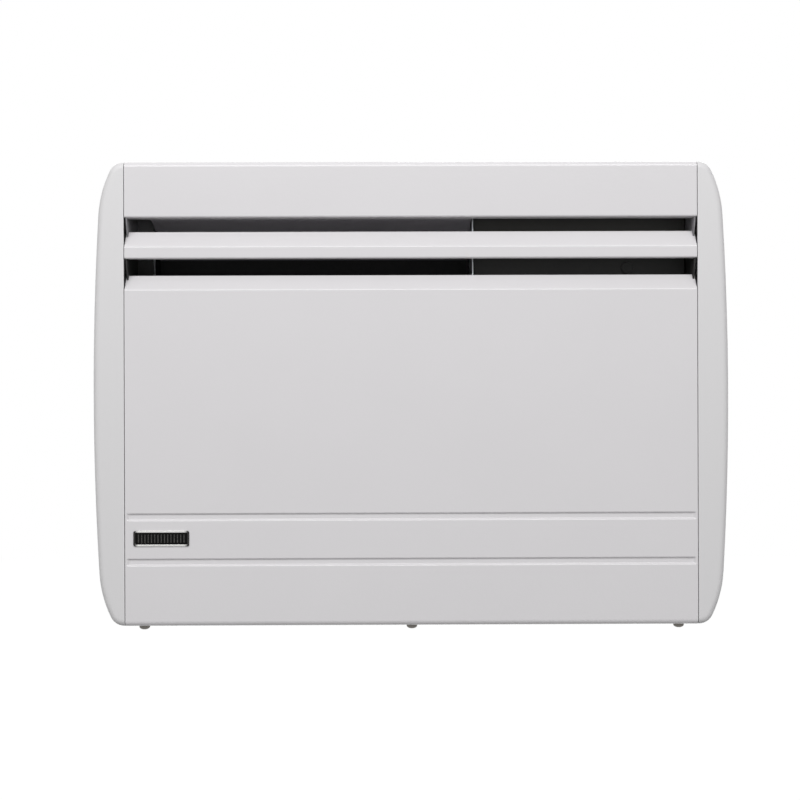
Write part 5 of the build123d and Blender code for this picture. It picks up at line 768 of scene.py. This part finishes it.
start = add(ribbed_plate, "ShaderNodeCombineXYZ", {"X": first.outputs[0], "Z": given["Thickness"]})
along = add(ribbed_plate, "ShaderNodeCombineXYZ", {"X": pitch.outputs[0]})
row = add(
    ribbed_plate,
    "GeometryNodeMeshLine",
    {"Count": given["Ribs"], "Start Location": start.outputs[0], "Offset": along.outputs[0]},
)
rib_width = add(ribbed_plate, "ShaderNodeMath", {0: pitch.outputs[0], 1: 3.0}, operation="DIVIDE")
rib_length = add(ribbed_plate, "ShaderNodeMath", {0: given["Height"], 1: 0.7}, operation="MULTIPLY")
rib = rounded_plate(ribbed_plate, rib_width.outputs[0], rib_length.outputs[0], 0.0003, given["Rib height"])
ribs = add(ribbed_plate, "GeometryNodeInstanceOnPoints", {"Points": row.outputs[0], "Instance": rib})
ribs = add(ribbed_plate, "GeometryNodeRealizeInstances", {"Geometry": ribs.outputs[0]})
ribs = add(ribbed_plate, "GeometryNodeSetMaterial", {"Geometry": ribs.outputs[0], "Material": given["Foil"]})
whole = add(ribbed_plate, "GeometryNodeJoinGeometry")
ribbed_plate.links.new(plate.outputs[0], whole.inputs[0])
ribbed_plate.links.new(ribs.outputs[0], whole.inputs[0])
smooth = add(ribbed_plate, "GeometryNodeSetShadeSmooth", {"Geometry": whole.outputs[0]})
add(ribbed_plate, "NodeGroupOutput", {"Geometry": smooth.outputs[0]})

plate = new_piece("ribbed_badge_plate", [(0, 0, 0)])
grow(plate, ribbed_plate, Material=badge_black, Foil=foil)
settle(plate)
stand_on_front(plate, BADGE)
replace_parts(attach(plate, "heater"), "badge_inset")

# The frame is one rounded bar, carried round a rectangle with rounded corners.
framed, given = geometry_tree(
    "framed", Length=0.0522, Height=0.0133, Corner=0.0011, Rim=0.0018, Proud=0.0012
)
path = rounded_rectangle(framed, given["Length"], given["Height"], given["Corner"], 6)
bar = rounded_rectangle(framed, given["Rim"], given["Proud"], 0.00035, 4)
half = add(framed, "ShaderNodeMath", {0: given["Proud"], 1: 0.5}, operation="MULTIPLY")
lift = add(framed, "ShaderNodeCombineXYZ", {"Z": half.outputs[0]})
frame_mesh = add(framed, "GeometryNodeCurveToMesh", {"Curve": path, "Profile Curve": bar})
inputs = {"Geometry": frame_mesh.outputs[0], "Offset": lift.outputs[0]}
frame_mesh = add(framed, "GeometryNodeSetPosition", inputs)
end_tree(framed, frame_mesh.outputs[0], given)
rim = new_piece("badge_rim", [(0, 0, 0)])
grow(rim, framed, Material=badge_chrome)
settle(rim)
stand_on_front(rim, BADGE)
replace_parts(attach(rim, "heater"), "badge_frame")

# ------------------------------------------------------------------ casing screws
# Three pan-head screws with captive washers go up through the front panel's bottom flange and
# the grille into clip nuts. They are headed from steel wire, with a cross recess.
def turned(name, outline, steps=40):
    """A closed solid of revolution. Its outline of (radius, height) runs down from axis to axis."""
    points = [(0, 0, outline[0][1])]
    for radius, height in outline[1:-1]:
        for number in range(steps):
            angle = math.tau * number / steps
            points.append((radius * math.cos(angle), radius * math.sin(angle), height))
    points.append((0, 0, outline[-1][1]))
    top = 0
    foot = len(points) - 1
    faces = []
    for number in range(steps):
        here = 1 + number
        beside = 1 + (number + 1) % steps
        faces.append((top, here, beside))
        for _ in outline[2:-1]:
            faces.append((here, here + steps, beside + steps, beside))
            here += steps
            beside += steps
        faces.append((here, foot, beside))
    return new_piece(name, points, faces=faces)


# Each arm of the cross recess is cut out by a blade of its own, because blades that cross in one
# mesh can spoil the cut.
BLADE = 0.004  # height of the blades that cut the recess, in metres
RECESS_FLOOR = -0.0035
screw_row, given = geometry_tree(
    "screw_row",
    Count=3,
    Start=(-0.26125, -0.106, -0.225),
    Pitch=(0.26125, 0.0, 0.0),
    Recess=0.0052,
    Slot=0.0011,
)
cross = add(screw_row, "GeometryNodeMeshBoolean", operation="DIFFERENCE", solver="MANIFOLD")
screw_row.links.new(given["Geometry"], cross.inputs["Mesh 1"])
for wide, deep in (("Slot", "Recess"), ("Recess", "Slot")):
    size = add(screw_row, "ShaderNodeCombineXYZ", {"X": given[wide], "Y": given[deep], "Z": BLADE})
    blade = add(screw_row, "GeometryNodeMeshCube", {"Size": size.outputs[0]})
    inputs = {"Geometry": blade.outputs[0], "Translation": (0, 0, RECESS_FLOOR - BLADE / 2)}
    blade = add(screw_row, "GeometryNodeTransform", inputs)
    screw_row.links.new(blade.outputs[0], cross.inputs["Mesh 2"])
row = add(
    screw_row,
    "GeometryNodeMeshLine",
    {"Count": given["Count"], "Start Location": given["Start"], "Offset": given["Pitch"]},
)
inputs = {"Points": row.outputs[0], "Instance": cross.outputs[0]}
screws = add(screw_row, "GeometryNodeInstanceOnPoints", inputs)
end_tree(screw_row, screws.outputs[0], given)

# The outline goes from the shank's tip over the washer to the middle of the domed head.
HEAD_RADIUS = 5.25
HEAD_SIDE = -1.9  # where the side of the head turns into the dome
DOME = 3.0
DOME_STEPS = 10
screw_outline = [(0, 9), (1.5, 9), (1.95, 8.2), (1.95, 0)]
screw_outline += [(5.8, 0), (6, -0.2), (6, -0.8), (5.8, -1), (HEAD_RADIUS, -1)]
for number in range(DOME_STEPS):
    slope = math.radians(90 * number / DOME_STEPS)
    screw_outline.append((HEAD_RADIUS * math.cos(slope), HEAD_SIDE - DOME * math.sin(slope)))
screw_outline.append((0, HEAD_SIDE - DOME))
screws = turned("pan_head_casing_screws", screw_outline)
grow(screws, screw_row, Material=screw_zinc)
settle(screws)
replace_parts(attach(screws, "heater"), "casing_screws")

# ------------------------------------------------------------------ printed marks
# The well's floor carries printed ticks beside the dial, and the switch bezel a bar and a ring.
# They are pad-printed in white ink, a twentieth of a millimetre thick.
INK = 0.00005
DIAL_MIDDLE = (0.155, -0.057, 0.214)
SWITCH_MIDDLE = (0.207, -0.057, 0.2155)

# Pad-printing ink: flat white, a little thin in spots.
white_ink, tree, shader, place = finish("white_pad_print_ink", "#DEDDD9", Roughness=0.6, IOR=1.5)
thin = add(tree, "ShaderNodeTexNoise", {"Vector": place, "Scale": per_mm(0.6), "Detail": 2.0})
tone(tree, shader, thin.outputs[0], "#CFCEC9", "#E6E5E2")

tick_arc, given = geometry_tree(
    "tick_arc", Count=9, Radius=0.0172, Sweep=math.radians(120), Length=0.0016, Width=0.0004
)
steps = add(tick_arc, "ShaderNodeMath", {0: given["Count"], 1: 1.0}, operation="SUBTRACT")
step = add(tick_arc, "ShaderNodeMath", {0: given["Sweep"], 1: steps.outputs[0]}, operation="DIVIDE")
points = add(tick_arc, "GeometryNodePoints", {"Count": given["Count"]})
number = add(tick_arc, "GeometryNodeInputIndex")
first = add(tick_arc, "ShaderNodeMath", {0: given["Sweep"], 1: -0.5}, operation="MULTIPLY")
angle = add(
    tick_arc,
    "ShaderNodeMath",
    {0: number.outputs[0], 1: step.outputs[0], 2: first.outputs[0]},
    operation="MULTIPLY_ADD",
)
turn = add(tick_arc, "ShaderNodeCombineXYZ", {"Z": angle.outputs[0]})
tick = rounded_plate(tick_arc, given["Length"], given["Width"], 0.0001, INK)
out = add(tick_arc, "ShaderNodeCombineXYZ", {"X": given["Radius"]})
tick = add(tick_arc, "GeometryNodeTransform", {"Geometry": tick, "Translation": out.outputs[0]})
ticks = add(
    tick_arc,
    "GeometryNodeInstanceOnPoints",
    {"Points": points.outputs[0], "Instance": tick.outputs[0], "Rotation": turn.outputs[0]},
)
end_tree(tick_arc, ticks.outputs[0], given)

for name, turned_by in (("dial_ticks_right", 0), ("dial_ticks_left", 180)):
    ticks = new_piece(name, [(0, 0, 0)])
    grow(ticks, tick_arc, Material=white_ink)
    settle(ticks)
    rotation = Matrix.Rotation(math.radians(turned_by), 4, "Z")
    ticks.data.transform(Matrix.Translation(DIAL_MIDDLE) @ rotation)
    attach(ticks, "heater")

mark, given = geometry_tree("switch_marks", Ring=0.0013, Line=0.0004, Bar=0.0026, Apart=0.0254)
ring = add(mark, "GeometryNodeCurvePrimitiveCircle", {"Resolution": 28, "Radius": given["Ring"]})
strip = add(mark, "GeometryNodeCurvePrimitiveQuadrilateral", {"Width": given["Line"], "Height": INK})
ring = add(mark, "GeometryNodeCurveToMesh", {"Curve": ring.outputs[0], "Profile Curve": strip.outputs[0]})
side = add(mark, "ShaderNodeMath", {0: given["Apart"], 1: 0.5}, operation="MULTIPLY")
right = add(mark, "ShaderNodeCombineXYZ", {"X": side.outputs[0], "Z": INK / 2})
ring = add(mark, "GeometryNodeTransform", {"Geometry": ring.outputs[0], "Translation": right.outputs[0]})
bar = rounded_plate(mark, given["Line"], given["Bar"], 0.0001, INK)
other = add(mark, "ShaderNodeMath", {0: given["Apart"], 1: -0.5}, operation="MULTIPLY")
left = add(mark, "ShaderNodeCombineXYZ", {"X": other.outputs[0]})
bar = add(mark, "GeometryNodeTransform", {"Geometry": bar, "Translation": left.outputs[0]})
both = add(mark, "GeometryNodeJoinGeometry")
mark.links.new(ring.outputs[0], both.inputs[0])
mark.links.new(bar.outputs[0], both.inputs[0])
end_tree(mark, both.outputs[0], given)
marks = new_piece("switch_marks", [(0, 0, 0)])
grow(marks, mark, Material=white_ink)
settle(marks)
marks.data.transform(Matrix.Translation(SWITCH_MIDDLE))
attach(marks, "heater")
